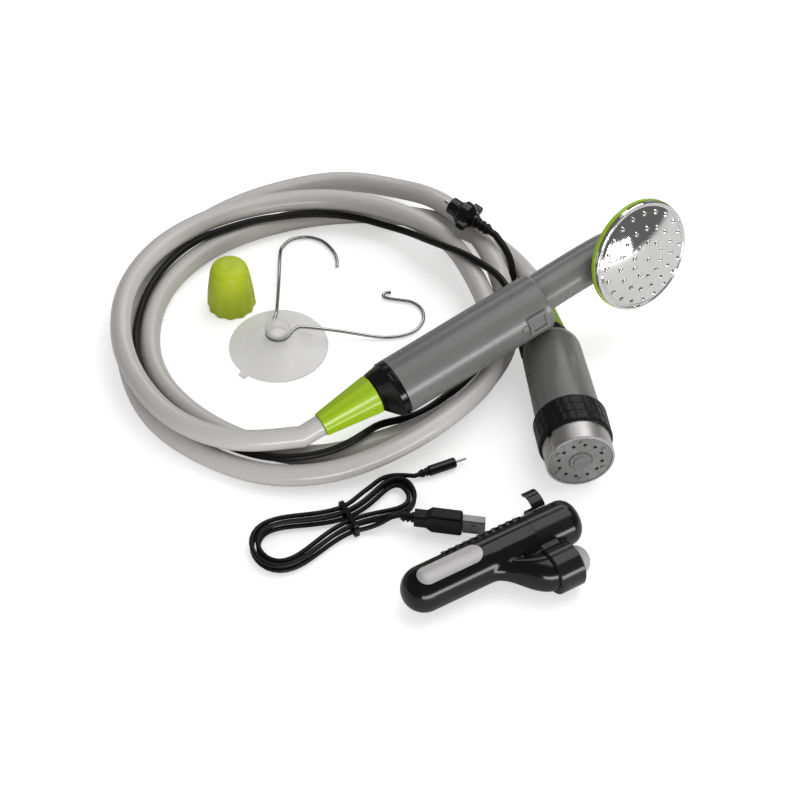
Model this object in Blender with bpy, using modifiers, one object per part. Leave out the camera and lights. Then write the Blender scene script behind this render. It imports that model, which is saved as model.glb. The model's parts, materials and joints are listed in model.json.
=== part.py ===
"""Portable camping shower: handset, hose, submersible pump, battery pack, charging cable and hanger.

Metres, +Z up. The kit lies on the plane Z = 0. The origin is under the middle of the kit without its cords.
"""

import math

import bmesh
import bpy
from mathutils import Matrix, Vector

# Shared clearances and mesh fineness
GAP = 0.0003
BITE = 0.0004
ROUND_STEPS = 24
SMALL_STEPS = 12
INNER_STEPS = 18
TINY_STEPS = 10
KIT_CENTRE_X = 0.02417
KIT_CENTRE_Y = -0.01161

# Handset: local Z runs from the collar seam to the head, local X points to the sprayed side
HANDSET_SEAM = (-0.0025, -0.0187, 0.0315)
HANDSET_AZIMUTH = 32.0
HANDSET_RISE = 10.1
HANDSET_ROLL = 15.94
BARREL_RADIUS = 0.0165
BARREL_LENGTH = 0.109
BARREL_WALL = 0.002
BARREL_END_WALL = 0.004
BARREL_EDGE = 0.0012
INLET_OFFSET = 0.005
COLLAR_LENGTH = 0.0115
COLLAR_BAND = 0.0045
COLLAR_BORE = 0.0052
COLLAR_SLOT_WIDTH = 0.0014
COLLAR_SLOT_LENGTH = 0.0045
COLLAR_SLOT_DEPTH = 0.0012
COLLAR_SLOTS = 4
LUG_POSITION = 0.0985
LUG_WIDTH = 0.011
LUG_LENGTH = 0.0125
LUG_HEIGHT = 0.0012
LUG_FRAME = 0.0018
LUG_RECESS_DEPTH = 0.0009
SCREW_POSITION = 0.084
SCREW_RADIUS = 0.0019
SCREW_LENGTH = 0.0012
SCREW_SLOT = 0.0006
WATER_TUBE_RADIUS = 0.0045
WATER_TUBE_BORE = 0.0033
WATER_TUBE_INSERT = 0.006

# Hose fittings, alike on the handset and the pump
NUT_LENGTH = 0.034
NUT_LARGE_RADIUS = 0.0115
NUT_SMALL_RADIUS = 0.0068
NUT_WALL = 0.0016
NUT_FLUTES = 9
NUT_FLUTE_DEPTH = 0.0005
BARB_SHANK_RADIUS = 0.0044
BARB_BORE = 0.003
BARB_RIB_RADIUS = 0.0051
BARB_RIB_LENGTH = 0.005
BARB_RIBS = 3
BARB_LENGTH = 0.026
BARB_FLANGE_RADIUS = 0.0072
BARB_FLANGE = 0.0016

# Spray head: local Z of the face frame points out of the spray plate
FACE_FORWARD = 0.014
FACE_ALONG = 0.1566
FACE_TILT = 7.2
RIM_RADIUS = 0.032
RIM_THICKNESS = 0.002
RIM_LIP = 0.0022
PLATE_WALL = 0.0014
PLATE_RISE = 0.006
TRIM_RADIUS = 0.0324
TRIM_THICKNESS = 0.003
TRIM_INNER = 0.0286
NOZZLE_RINGS = ((0.0100, 10), (0.0183, 15), (0.0264, 20))
NOZZLE_BASE_RADIUS = 0.0015
NOZZLE_TIP_RADIUS = 0.0009
NOZZLE_HEIGHT = 0.0009
NOZZLE_SIDES = 5
GASKET_OUTER = 0.0282
GASKET_INNER = 0.0262
CHAMBER_RADIUS = 0.024
CHAMBER_DEPTH = 0.005
BOWL_DEPTH = 0.019
BOWL_RIM_RADIUS = 0.0318
DIFFUSER_RADIUS = 0.010
DIFFUSER_PLATE = 0.0014
DIFFUSER_SKIRT = 0.0016
DIFFUSER_HOLE = 0.0012
DIFFUSER_HOLES = 5
NECK_RADIUS = 0.0115
HEAD_RISE_BORE = 0.0026

# Pump: local Z runs from the intake face to the hose nut
PUMP_FACE = (0.0968, -0.0639, 0.0220)
PUMP_AZIMUTH = 98.0
PUMP_DROP = 2.5
INTAKE_COLLAR_RADIUS = 0.01885
INTAKE_COLLAR_WALL = 0.0013
INTAKE_COLLAR_LENGTH = 0.012
INTAKE_SHELF = 0.0013
INTAKE_NOTCH_WIDTH = 0.0022
INTAKE_NOTCH_DEPTH = 0.0006
INTAKE_NOTCH_ANGLE = 140.0
PLATE_RECESS = 0.0003
PLATE_THICKNESS = 0.0016
INTAKE_HOLE_RADIUS = 0.0008
INTAKE_HOLE_CIRCLE = 0.0118
INTAKE_HOLES = 12
STUD_CIRCLE = 0.0147
STUD_RADIUS = 0.0014
STUD_HEIGHT = 0.0005
STUDS = 6
FOOT_RING_BAND = 0.0011
FOOT_RING_THICKNESS = 0.001
LENS_RADIUS = 0.0056
LENS_FLANGE = 0.0018
LENS_CROWN = 0.0012
GRIP_RADIUS = 0.0205
GRIP_LENGTH = 0.0188
GRIP_LIP = 0.0017
GRIP_RIBS = 14
GRIP_RIB_DEPTH = 0.0003
HOUSING_LARGE_RADIUS = 0.0186
HOUSING_SHOULDER_RADIUS = 0.0169
HOUSING_NECK_RADIUS = 0.0117
HOUSING_LENGTH = 0.091
HOUSING_SHOULDER_LENGTH = 0.009
HOUSING_SHOULDER_AT = HOUSING_LENGTH - HOUSING_SHOULDER_LENGTH
HOUSING_WALL = 0.0021
HOUSING_END_WALL = 0.003
TOP_CAP_LENGTH = 0.0072
TOP_CAP_RADIUS = 0.0117
TOP_CAP_NOTCHES = 4
TOP_CAP_NOTCH_WIDTH = 0.004
TOP_CAP_NOTCH_DEPTH = 0.0012
GLAND_OFFSET = 0.0147
GLAND_ROOT_RADIUS = 0.0028
GLAND_TIP_RADIUS = 0.0025
GLAND_REACH = 0.0098
GLAND_TIP_AT = HOUSING_LENGTH + GLAND_REACH
MOTOR_RADIUS = 0.0125
MOTOR_LENGTH = 0.034
MOTOR_EDGE = 0.001
CHAMBER_PLATE_AT = 0.036
CHAMBER_PLATE_THICKNESS = 0.003
SHAFT_RADIUS = 0.001
SHAFT_CLEARANCE = 0.0001
SHAFT_INTO_MOTOR = 0.008
SEAL_RADIUS = 0.0036
SEAL_THICKNESS = 0.002
IMPELLER_RADIUS = 0.0115
IMPELLER_DISC = 0.0012
IMPELLER_BLADE_HEIGHT = 0.006
IMPELLER_BLADE_THICKNESS = 0.001
IMPELLER_BLADES = 6
IMPELLER_HUB_RADIUS = 0.003
O_RING_RADIUS = 0.0006

# Battery pack: local Z runs along the cell, local X is up, local Y points to the switch barrel
PACK_END_CENTRE = (0.0124, -0.1420)
PACK_AZIMUTH = 30.4
PACK_RADIUS = 0.0125
PACK_LENGTH = 0.093
PACK_SEAM_AT = 0.064
PACK_END_EDGE = 0.005
CELL_RADIUS = 0.0091
CELL_LENGTH = 0.065
CELL_START = -0.005
BOARD_THICKNESS = 0.0016
SWITCH_OFFSET = 0.028
SWITCH_ROOT_RADIUS = 0.0092
SWITCH_COLLAR_RADIUS = 0.0116
SWITCH_COLLAR_END = 0.0765
SWITCH_COLLAR_EDGE = 0.0008
WEB_HALF_HEIGHT = 0.0062
WEB_START = 0.044
WEB_END = 0.074
BUTTON_RADIUS = 0.007
BUTTON_HEIGHT = 0.006
BUTTON_TRAVEL = 0.0015
BUTTON_SKIRT = 0.0045
SWITCH_RADIUS = 0.004
SWITCH_HEIGHT = 0.002
RIB_COUNT = 11
RIB_FIRST = 0.0290
RIB_SEAM_CLEARANCE = 0.0015
RIB_WIDTH = 0.0015
RIB_HEIGHT = 0.0006
RIB_SPAN = 0.009
RIB_ANGLE = 143.0
LABEL_START = -0.0045
LABEL_LENGTH = 0.038
LABEL_WIDTH = 0.0108
LABEL_THICKNESS = 0.0004
LABEL_TURN = 6.0
CLIP_AT = 0.077
CLIP_WIDTH = 0.0074
CLIP_THICKNESS = 0.0018
CLIP_RADIUS = 0.0068
CLIP_TOOTH = 0.003
SOCKET_RADIUS = 0.0062
SOCKET_BORE = 0.0019
SOCKET_DEPTH = 0.009
SOCKET_FLOOR = 0.0015
SOCKET_PIN_HOLE = 0.0012

# Hanger and loose cap
CUP_CENTRE = (-0.0697, 0.0418)
CUP_RADIUS = 0.0285
CUP_WALL = 0.0016
CUP_HEIGHT = 0.0086
KNOB_RADIUS = 0.0074
KNOB_TOP = 0.0162
KNOB_WAIST = 0.0046
WIRE_RADIUS = 0.001
WIRE_HEIGHT = 0.0111
WIRE_STEP = 0.0066
CUP_CROWN_RADIUS = 0.007
CUP_SHOULDER_RADIUS = 0.012
CUP_MIDDLE_RADIUS = 0.02
CUP_SKIRT_RADIUS = 0.026
HOOK_SHORT_ARM = (
    (0.0323, 0.0636, 0.0014), (0.0321, 0.0695, 0.0014), (0.0297, 0.0766, 0.0014), (0.0230, 0.0852, 0.0014),
    (0.0139, 0.0887, 0.0014), (0.0049, 0.0869, 0.0014), (-0.0003, 0.0809, 0.0014), (-0.0018, 0.0748, 0.0014),
    (-0.0016, 0.0500, 0.0040), (-0.0014, 0.0280, 0.0085), (-0.0016, 0.0150, 0.0111), (-0.0032, 0.0092, 0.0111),
)
HOOK_LONG_ARM = (
    (0.0078, 0.0006, 0.0111), (0.0102, 0.0034, 0.0111), (0.0150, 0.0050, 0.0105), (0.0350, 0.0062, 0.0060),
    (0.0560, 0.0055, 0.0020), (0.0668, 0.0060, 0.0014), (0.0768, 0.0096, 0.0014), (0.0820, 0.0160, 0.0014),
    (0.0835, 0.0228, 0.0014), (0.0815, 0.0296, 0.0014), (0.0762, 0.0342, 0.0014), (0.0695, 0.0358, 0.0014),
    (0.0625, 0.0372, 0.0014), (0.0598, 0.0392, 0.0014), (0.0612, 0.0418, 0.0014), (0.0645, 0.0420, 0.0014),
)
CUP_TAB_ANGLE = 230.0
CUP_TAB_LENGTH = 0.0055
CUP_TAB_WIDTH = 0.007
CAP_CENTRE = (-0.0985, 0.0765)
CAP_HEIGHT = 0.029
CAP_FOOT_RADIUS = 0.0138
CAP_TOP_RADIUS = 0.0102
CAP_WALL = 0.0016
CAP_FLUTES = 12
CAP_FLUTE_DEPTH = 0.00045

# Round power connector: local Z runs from the cord to the pin
CONNECTOR_END = (0.0525, 0.1055, 0.0302)
CONNECTOR_AIM = (-0.792, 0.589, 0.19)
RELIEF_LENGTH = 0.0095
RELIEF_RADIUS = 0.0034
RELIEF_WAIST = 0.0028
RELIEF_RIBS = 3
CONNECTOR_CORE_RADIUS = 0.0042
CONNECTOR_NOSE_RADIUS = 0.0052
CONNECTOR_NOSE_AT = 0.0228
CONNECTOR_NOSE_LENGTH = 0.006
CONNECTOR_NUT_RADIUS = 0.0078
CONNECTOR_NUT_START = 0.0122
CONNECTOR_NUT_LENGTH = 0.0088
CONNECTOR_WING_WIDTH = 0.0045
CONNECTOR_WING_REACH = 0.0102
CONNECTOR_WING_LENGTH = 0.006
PIN_RADIUS = 0.0012
PIN_LENGTH = 0.0038

# Cords: radius of each and the routes, in metres before the kit is centred
HOSE_RADIUS = 0.006
HOSE_STEP = 0.024
CORD_RADIUS = 0.0021
CORD_STEP = 0.0122
USB_CABLE_RADIUS = 0.0013
USB_CABLE_STEP = 0.006
HOSE_ROUTE = (
    (-0.0900, -0.0470, 0.0190), (-0.1240, -0.0310, 0.0190),
    (-0.1470, -0.0010, 0.0195), (-0.1585, 0.0345, 0.0190), (-0.1570, 0.0720, 0.0190),
    (-0.1400, 0.1055, 0.0190), (-0.1110, 0.1290, 0.0190), (-0.0755, 0.1420, 0.0190),
    (-0.0380, 0.1445, 0.0195), (-0.0020, 0.1340, 0.0190), (0.0275, 0.1115, 0.0190),
    (0.0435, 0.0785, 0.0190), (0.0525, 0.0420, 0.0215), (0.0525, 0.0065, 0.0190),
    (0.0300, -0.0240, 0.0175), (0.0000, -0.0470, 0.0145), (-0.0355, -0.0605, 0.0092),
    (-0.0735, -0.0605, 0.0067), (-0.1085, -0.0450, 0.0065), (-0.1365, -0.0205, 0.0065),
    (-0.1520, 0.0135, 0.0065), (-0.1580, 0.0510, 0.0065), (-0.1515, 0.0880, 0.0065),
    (-0.1335, 0.1210, 0.0065), (-0.1070, 0.1475, 0.0065), (-0.0740, 0.1655, 0.0065),
    (-0.0370, 0.1750, 0.0065), (-0.0020, 0.1655, 0.0090), (0.0255, 0.1420, 0.0195),
    (0.0475, 0.1110, 0.0190), (0.0585, 0.0760, 0.0195), (0.0625, 0.0395, 0.0090),
    (0.0470, 0.0070, 0.0065), (0.0210, -0.0200, 0.0065), (-0.0120, -0.0370, 0.0065),
    (-0.0485, -0.0476, 0.0065), (-0.0850, -0.0365, 0.0065), (-0.1160, -0.0155, 0.0065),
    (-0.1380, 0.0150, 0.0065), (-0.1440, 0.0520, 0.0065), (-0.1350, 0.0880, 0.0065),
    (-0.1110, 0.1170, 0.0065), (-0.0780, 0.1355, 0.0065), (-0.0415, 0.1450, 0.0065),
    (-0.0040, 0.1450, 0.0065), (0.0325, 0.1355, 0.0067), (0.0615, 0.1125, 0.0072),
)
CORD_ROUTE = (
    (0.0650, 0.0530, 0.0230), (0.0590, 0.0670, 0.0280), (0.0495, 0.0795, 0.0270),
    (0.0370, 0.0895, 0.0275), (0.0255, 0.1000, 0.0235), (0.0150, 0.1110, 0.0185),
    (0.0040, 0.1220, 0.0140), (-0.0100, 0.1300, 0.0120), (-0.0250, 0.1360, 0.0120),
    (-0.0405, 0.1385, 0.0125), (-0.0565, 0.1375, 0.0139), (-0.0720, 0.1345, 0.0145),
    (-0.0875, 0.1305, 0.0150), (-0.1025, 0.1240, 0.0150), (-0.1165, 0.1170, 0.0144),
    (-0.1290, 0.1070, 0.0130), (-0.1375, 0.0935, 0.0135), (-0.1440, 0.0790, 0.0138),
    (-0.1485, 0.0635, 0.0130), (-0.1505, 0.0475, 0.0120), (-0.1500, 0.0315, 0.0128),
    (-0.1465, 0.0160, 0.0128), (-0.1405, 0.0010, 0.0120), (-0.1320, -0.0125, 0.0120),
    (-0.1215, -0.0245, 0.0120), (-0.1095, -0.0350, 0.0115), (-0.0955, -0.0425, 0.0105),
    (-0.0800, -0.0490, 0.0103), (-0.0650, -0.0542, 0.0132), (-0.0490, -0.0535, 0.0143),
    (-0.0335, -0.0488, 0.0150), (-0.0200, -0.0400, 0.0165), (-0.0110, -0.0275, 0.0108),
    (0.0035, -0.0200, 0.0070), (0.0150, -0.0100, 0.0030), (0.0265, 0.0015, 0.0027),
    (0.0385, 0.0120, 0.0027), (0.0485, 0.0245, 0.0027), (0.0555, 0.0390, 0.0027),
    (0.0625, 0.0535, 0.0027), (0.0685, 0.0685, 0.0027), (0.0660, 0.0805, 0.0105),
    (0.0645, 0.0915, 0.0220),
)

# Charging cable hank, its tie and its two plugs
HANK_CENTRE = (-0.0272, -0.0893)
HANK_AZIMUTH = 26.1
HANK_TURNS = 3.5
HANK_POINTS_PER_LOOP = 24
HANK_STEP = 0.0034
HANK_LOW = 0.0027
HANK_WAIST = 0.0017
HANK_LEFT_REACH = 0.050
HANK_RIGHT_REACH = 0.036
HANK_LEFT_BULB = 0.026
HANK_RIGHT_BULB = 0.0165
HANK_CLIMB_FROM = 0.5
HANK_BEND = 3.0
TIE_RADIUS = 0.0005
TIE_WIDTH = 0.0026
USB_START = (0.0005, -0.0905)
USB_AZIMUTH = -9.0
USB_ROLL = 7.0
USB_RELIEF_LENGTH = 0.007
USB_RELIEF_RADIUS = 0.0029
USB_RELIEF_WAIST = 0.0022
USB_RELIEF_RIBS = 3
USB_BODY_LENGTH = 0.0257
USB_BODY_WIDTH = 0.0154
USB_BODY_THICKNESS = 0.0074
USB_TAIL_WIDTH = 0.0095
USB_TAIL_THICKNESS = 0.0068
USB_TAIL_LENGTH = 0.0065
USB_BODY_CORNER = 0.0014
USB_SHELL_LENGTH = 0.0118
USB_SHELL_WIDTH = 0.012
USB_SHELL_THICKNESS = 0.0045
USB_SHELL_WALL = 0.0004
USB_TONGUE_THICKNESS = 0.0017
DC_START = (0.0105, -0.0573)
DC_AZIMUTH = 23.8
DC_HEIGHT = 0.0032
DC_RELIEF_LENGTH = 0.0052
DC_RELIEF_RADIUS = 0.0023
DC_BODY_LENGTH = 0.016
DC_BODY_RADIUS = 0.0029
DC_PIN_LENGTH = 0.0062
DC_PIN_RADIUS = 0.00065

# Colours as linear RGB triples, with roughness and metallic
GREY_PLASTIC = ((0.43, 0.43, 0.42), 0.42, 0.0)
BLACK_PLASTIC = ((0.02, 0.02, 0.02), 0.35, 0.0)
BLACK_RUBBER = ((0.03, 0.03, 0.03), 0.6, 0.0)
GREEN_PLASTIC = ((0.30, 0.52, 0.02), 0.3, 0.0)
CAP_GREEN = ((0.38, 0.54, 0.02), 0.45, 0.0)
CHROME = ((0.75, 0.75, 0.75), 0.08, 1.0)
STEEL = ((0.6, 0.6, 0.6), 0.25, 1.0)
HOSE_GREY = ((0.45, 0.43, 0.42), 0.35, 0.0)
CLEAR_PLASTIC = ((0.85, 0.84, 0.83), 0.1, 0.0)
BUTTON_GREY = ((0.35, 0.34, 0.33), 0.55, 0.0)
LABEL_SILVER = ((0.52, 0.5, 0.5), 0.4, 0.3)
WHITE_PLASTIC = ((0.7, 0.7, 0.7), 0.4, 0.0)
CELL_BLUE = ((0.05, 0.15, 0.4), 0.4, 0.0)
BOARD_GREEN = ((0.02, 0.2, 0.06), 0.5, 0.0)


def clear_scene():
    for old in list(bpy.data.objects):
        bpy.data.objects.remove(old, do_unlink=True)


def collection(name):
    made = bpy.data.collections.new(name)
    bpy.context.scene.collection.children.link(made)
    return made


def add_object(name, data, home=None, cutter=False):
    made = bpy.data.objects.new(name, data)
    (CUTTERS if cutter else PARTS).objects.link(made)
    made.parent = home
    if cutter:
        made.hide_render = True
        made.display_type = "WIRE"
    return made


def paint(obj, finish):
    colour, roughness, metallic = finish
    material = bpy.data.materials.new(obj.name)
    material.use_nodes = True
    shader = material.node_tree.nodes["Principled BSDF"]
    shader.inputs["Base Color"].default_value = (*colour, 1.0)
    shader.inputs["Roughness"].default_value = roughness
    shader.inputs["Metallic"].default_value = metallic
    obj.data.materials.append(material)
    return obj


def frame(name, origin, z_axis, x_hint):
    """An empty whose Z and X follow the given directions, carrying the pieces built along it."""
    z_axis = Vector(z_axis).normalized()
    x_axis = Vector(x_hint)
    x_axis = (x_axis - x_axis.dot(z_axis) * z_axis).normalized()
    y_axis = z_axis.cross(x_axis)
    turn = Matrix((x_axis, y_axis, z_axis)).transposed().to_4x4()
    made = bpy.data.objects.new(name, None)
    PARTS.objects.link(made)
    made.matrix_world = Matrix.Translation(Vector(origin)) @ turn
    return made


def kit_point(point):
    """A point of the laid-out kit moved to the part's own origin."""
    return Vector((point[0] - KIT_CENTRE_X, point[1] - KIT_CENTRE_Y, point[2]))


def heading(azimuth, rise=0.0):
    around = math.radians(azimuth)
    above = math.radians(rise)
    return Vector((math.cos(around) * math.cos(above), math.sin(around) * math.cos(above), math.sin(above)))


def turned(name, profile, home, finish=None, steps=ROUND_STEPS):
    """Turn a profile of (radius, height) pairs, outer side first from the top, about local Z."""
    mesh = bpy.data.meshes.new(name)
    edges = [(i, i + 1) for i in range(len(profile) - 1)]
    if profile[0][0] > 0.0:
        edges.append((len(profile) - 1, 0))
    mesh.from_pydata([(radius, 0.0, height) for radius, height in profile], edges, [])
    made = add_object(name, mesh, home, cutter=finish is None)
    screw = made.modifiers.new("Turn", "SCREW")
    screw.steps = steps
    screw.render_steps = steps
    screw.use_merge_vertices = True
    screw.merge_threshold = 0.000001
    screw.use_smooth_shade = False
    return paint(made, finish) if finish else made


def disc(name, radius, low, high, home, finish=None, steps=ROUND_STEPS):
    return turned(name, [(0.0, high), (radius, high), (radius, low), (0.0, low)], home, finish, steps)


def ring(name, outer, inner, low, high, home, finish=None, steps=ROUND_STEPS):
    return turned(name, [(outer, high), (outer, low), (inner, low), (inner, high)], home, finish, steps)


def block(name, size, centre, home, finish=None, bevel=0.0, turn=None):
    mesh = bpy.data.meshes.new(name)
    build = bmesh.new()
    bmesh.ops.create_cube(build, size=1.0)
    bmesh.ops.scale(build, vec=Vector(size), verts=build.verts)
    build.to_mesh(mesh)
    build.free()
    made = add_object(name, mesh, home, cutter=finish is None)
    made.location = centre
    if turn:
        made.rotation_euler = turn
    if bevel:
        edge = made.modifiers.new("Edge", "BEVEL")
        edge.width = bevel
        edge.segments = 1
        edge.limit_method = "ANGLE"
    return paint(made, finish) if finish else made


def loft(name, rings, home, finish=None, closed=False):
    """Skin a row of point rings of equal count; closed joins the last ring to the first."""
    build = bmesh.new()
    rows = [[build.verts.new(point) for point in row] for row in rings]
    count = len(rows[0])
    pairs = list(zip(rows, rows[1:]))
    if closed:
        pairs.append((rows[-1], rows[0]))
    for low, high in pairs:
        for i in range(count):
            j = (i + 1) % count
            build.faces.new((low[i], low[j], high[j], high[i]))
    if not closed:
        build.faces.new(list(reversed(rows[0])))
        build.faces.new(rows[-1])
    bmesh.ops.recalc_face_normals(build, faces=build.faces)
    mesh = bpy.data.meshes.new(name)
    build.to_mesh(mesh)
    build.free()
    made = add_object(name, mesh, home, cutter=finish is None)
    return paint(made, finish) if finish else made


def circle(radius, height, count, centre_x=0.0, centre_y=0.0):
    turn = [2.0 * math.pi * i / count for i in range(count)]
    return [Vector((centre_x + radius * math.cos(a), centre_y + radius * math.sin(a), height)) for a in turn]


def fluted_circle(radius, height, flutes, depth):
    """A circle whose edge swells and dips once for each flute, with four points a flute."""
    points = []
    for i in range(flutes * 4):
        angle = 2.0 * math.pi * i / (flutes * 4)
        local = radius - depth * 0.5 * (1.0 - math.cos(flutes * angle))
        points.append(Vector((local * math.cos(angle), local * math.sin(angle), height)))
    return points


def rounded_rectangle(width, depth, corner, height, per_corner=3):
    points = []
    for sign_x, sign_y, start in ((1, 1, 0.0), (-1, 1, 90.0), (-1, -1, 180.0), (1, -1, 270.0)):
        for i in range(per_corner):
            angle = math.radians(start + 90.0 * i / (per_corner - 1))
            points.append(Vector((
                sign_x * (width / 2.0 - corner) + corner * math.cos(angle),
                sign_y * (depth / 2.0 - corner) + corner * math.sin(angle),
                height,
            )))
    return points


def combine(target, tool, operation):
    change = target.modifiers.new(operation.title(), "BOOLEAN")
    change.operation = operation
    change.object = tool
    return target


def cut(target, tool):
    return combine(target, tool, "DIFFERENCE")


def unite(target, tool):
    return combine(target, tool, "UNION")


def smooth_path(route, step):
    """Points every step along a Catmull-Rom curve through the route."""
    ends = [2.0 * route[0] - route[1]] + list(route) + [2.0 * route[-1] - route[-2]]
    fine = []
    for a, b, c, d in zip(ends, ends[1:], ends[2:], ends[3:]):
        for i in range(20):
            t = i / 20.0
            fine.append(0.5 * (
                2.0 * b + (c - a) * t + (2.0 * a - 5.0 * b + 4.0 * c - d) * t * t
                + (3.0 * b - a - 3.0 * c + d) * t ** 3
            ))
    fine.append(route[-1].copy())
    travelled = [0.0]
    for a, b in zip(fine, fine[1:]):
        travelled.append(travelled[-1] + (b - a).length)
    count = max(2, round(travelled[-1] / step))
    points = []
    at = 0
    for i in range(count + 1):
        wanted = travelled[-1] * i / count
        while at < len(fine) - 2 and travelled[at + 1] < wanted:
            at += 1
        part = (wanted - travelled[at]) / (travelled[at + 1] - travelled[at])
        points.append(fine[at].lerp(fine[at + 1], part))
    return points, travelled[-1]


def tube(name, points, radius, home, finish, resolution):
    curve = bpy.data.curves.new(name, "CURVE")
    curve.dimensions = "3D"
    curve.bevel_depth = radius
    curve.bevel_resolution = resolution
    curve.use_fill_caps = True
    spline = curve.splines.new("POLY")
    spline.points.add(len(points) - 1)
    for slot, point in zip(spline.points, points):
        slot.co = (*point, 1.0)
    return paint(add_object(name, curve, home), finish)


def cord(name, start, start_out, route, end_out, end, radius, step, resolution):
    """A free cord that leaves both of its ends straight for one diameter along the given directions."""
    run = 2.0 * radius
    points, length = smooth_path([start + run * start_out, *route, end + run * end_out], step)
    print(name, "length", round(length + 2.0 * run, 4))
    return tube(name, [start, *points, end], radius, None, CORD_FINISH[name], resolution)


def arc_points(centre_radius, angles, height):
    return [Vector((centre_radius * math.cos(math.radians(a)), centre_radius * math.sin(math.radians(a)), height))
            for a in angles]


def hose_nut(name, home, start, away):
    """A soft-fluted conical nut from start towards away (+1 or -1) along local Z, over the barb."""
    end = start + away * NUT_LENGTH
    shape = (
        (0.0, NUT_LARGE_RADIUS),
        (0.45, NUT_LARGE_RADIUS - 0.42 * (NUT_LARGE_RADIUS - NUT_SMALL_RADIUS)),
        (0.95, NUT_SMALL_RADIUS + 0.0003),
        (1.0, NUT_SMALL_RADIUS),
    )
    outer = [fluted_circle(radius, start + (end - start) * part, NUT_FLUTES, NUT_FLUTE_DEPTH)
             for part, radius in shape]
    mouth = BARB_RIB_RADIUS + GAP
    count = NUT_FLUTES * 4
    inner = [
        circle(mouth, end, count),
        circle(NUT_LARGE_RADIUS - NUT_WALL - NUT_FLUTE_DEPTH, start + (end - start) * 0.12, count),
        circle(NUT_LARGE_RADIUS - NUT_WALL - NUT_FLUTE_DEPTH, start, count),
    ]
    return loft(name, outer + inner, home, GREEN_PLASTIC, closed=True)


def hose_barb(name, home, root, seat, away):
    """A barbed tail: a flange at root inside the wall, a shank through the seat and ribs beyond it."""
    tip = seat + away * BARB_LENGTH
    profile = [(BARB_FLANGE_RADIUS, root), (BARB_FLANGE_RADIUS, root + away * BARB_FLANGE),
               (BARB_SHANK_RADIUS, root + away * BARB_FLANGE)]
    for i in range(BARB_RIBS):
        low = tip - away * BARB_RIB_LENGTH * (BARB_RIBS - i)
        profile.append((BARB_SHANK_RADIUS, low))
        profile.append((BARB_RIB_RADIUS, low + away * BARB_RIB_LENGTH * 0.2))
    profile += [(BARB_SHANK_RADIUS - 0.0004, tip), (BARB_BORE, tip), (BARB_BORE, root)]
    if away > 0:
        profile.reverse()
    return turned(name, profile, home, BLACK_PLASTIC, TINY_STEPS)


def strain_relief(name, home, start, length, radius, waist, ribs):
    """A ribbed sleeve along local Z."""
    pitch = length / ribs
    profile = [(0.0, start + length)]
    for i in reversed(range(ribs)):
        low = start + pitch * i
        profile += [(radius, low + pitch), (radius, low + pitch * 0.45), (waist, low + pitch * 0.4), (waist, low)]
    profile.append((0.0, start))
    return turned(name, profile, home, BLACK_RUBBER, TINY_STEPS)


def make_handset():
    axis = heading(HANDSET_AZIMUTH, HANDSET_RISE)
    side = axis.cross(Vector((0.0, 0.0, 1.0))).normalized()
    above = side.cross(axis)
    roll = math.radians(HANDSET_ROLL)
    front = math.cos(roll) * side + math.sin(roll) * above
    home = frame("handset_frame", kit_point(HANDSET_SEAM), axis, front)
    inlet = bpy.data.objects.new("handset_inlet_axis", None)
    PARTS.objects.link(inlet)
    inlet.parent = home
    inlet.location = (-INLET_OFFSET, 0.0, 0.0)
    make_barrel(home)
    make_handset_inlet(home, inlet)
    make_spray_head(home, inlet)
    return home, inlet


def make_barrel(home):
    bore = BARREL_RADIUS - BARREL_WALL
    end = BARREL_LENGTH
    barrel = turned("handset_barrel", [
        (0.0, end), (BARREL_RADIUS - BARREL_EDGE, end), (BARREL_RADIUS, end - BARREL_EDGE), (BARREL_RADIUS, GAP),
        (bore, GAP), (bore, end - BARREL_END_WALL), (0.0, end - BARREL_END_WALL),
    ], home, GREY_PLASTIC)
    tube_hole = disc("cut_tube_hole", WATER_TUBE_RADIUS + GAP, end - 2.0 * BARREL_END_WALL, end + BARREL_END_WALL,
                     home, steps=SMALL_STEPS)
    tube_hole.location.x = -INLET_OFFSET
    cut(barrel, tube_hole)
    lug_top = BARREL_RADIUS + LUG_HEIGHT
    lug_root = BARREL_RADIUS - BARREL_WALL * 0.5
    lug = block("add_lug", (lug_top - lug_root, LUG_WIDTH, LUG_LENGTH),
                ((lug_top + lug_root) / 2.0, 0.0, LUG_POSITION), home, bevel=0.0004)
    unite(barrel, lug)
    recess = block("cut_lug_recess", (LUG_RECESS_DEPTH * 2.0, LUG_WIDTH - 2.0 * LUG_FRAME,
                                      LUG_LENGTH - 2.0 * LUG_FRAME), (lug_top, 0.0, LUG_POSITION), home)
    cut(barrel, recess)
    across = (0.0, math.radians(90.0), 0.0)
    pocket = disc("cut_screw_pocket", SCREW_RADIUS + GAP, -SCREW_LENGTH - GAP, SCREW_LENGTH, home,
                  steps=TINY_STEPS)
    pocket.location = (BARREL_RADIUS, 0.0, SCREW_POSITION)
    pocket.rotation_euler = across
    cut(barrel, pocket)
    screw = disc("barrel_screw", SCREW_RADIUS, -SCREW_LENGTH, 0.0, home, STEEL, steps=TINY_STEPS)
    screw.location = (BARREL_RADIUS, 0.0, SCREW_POSITION)
    screw.rotation_euler = across
    slot = block("cut_screw_slot", (SCREW_SLOT, SCREW_RADIUS * 3.0, SCREW_SLOT),
                 (BARREL_RADIUS, 0.0, SCREW_POSITION), home)
    cut(screw, slot)


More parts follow.
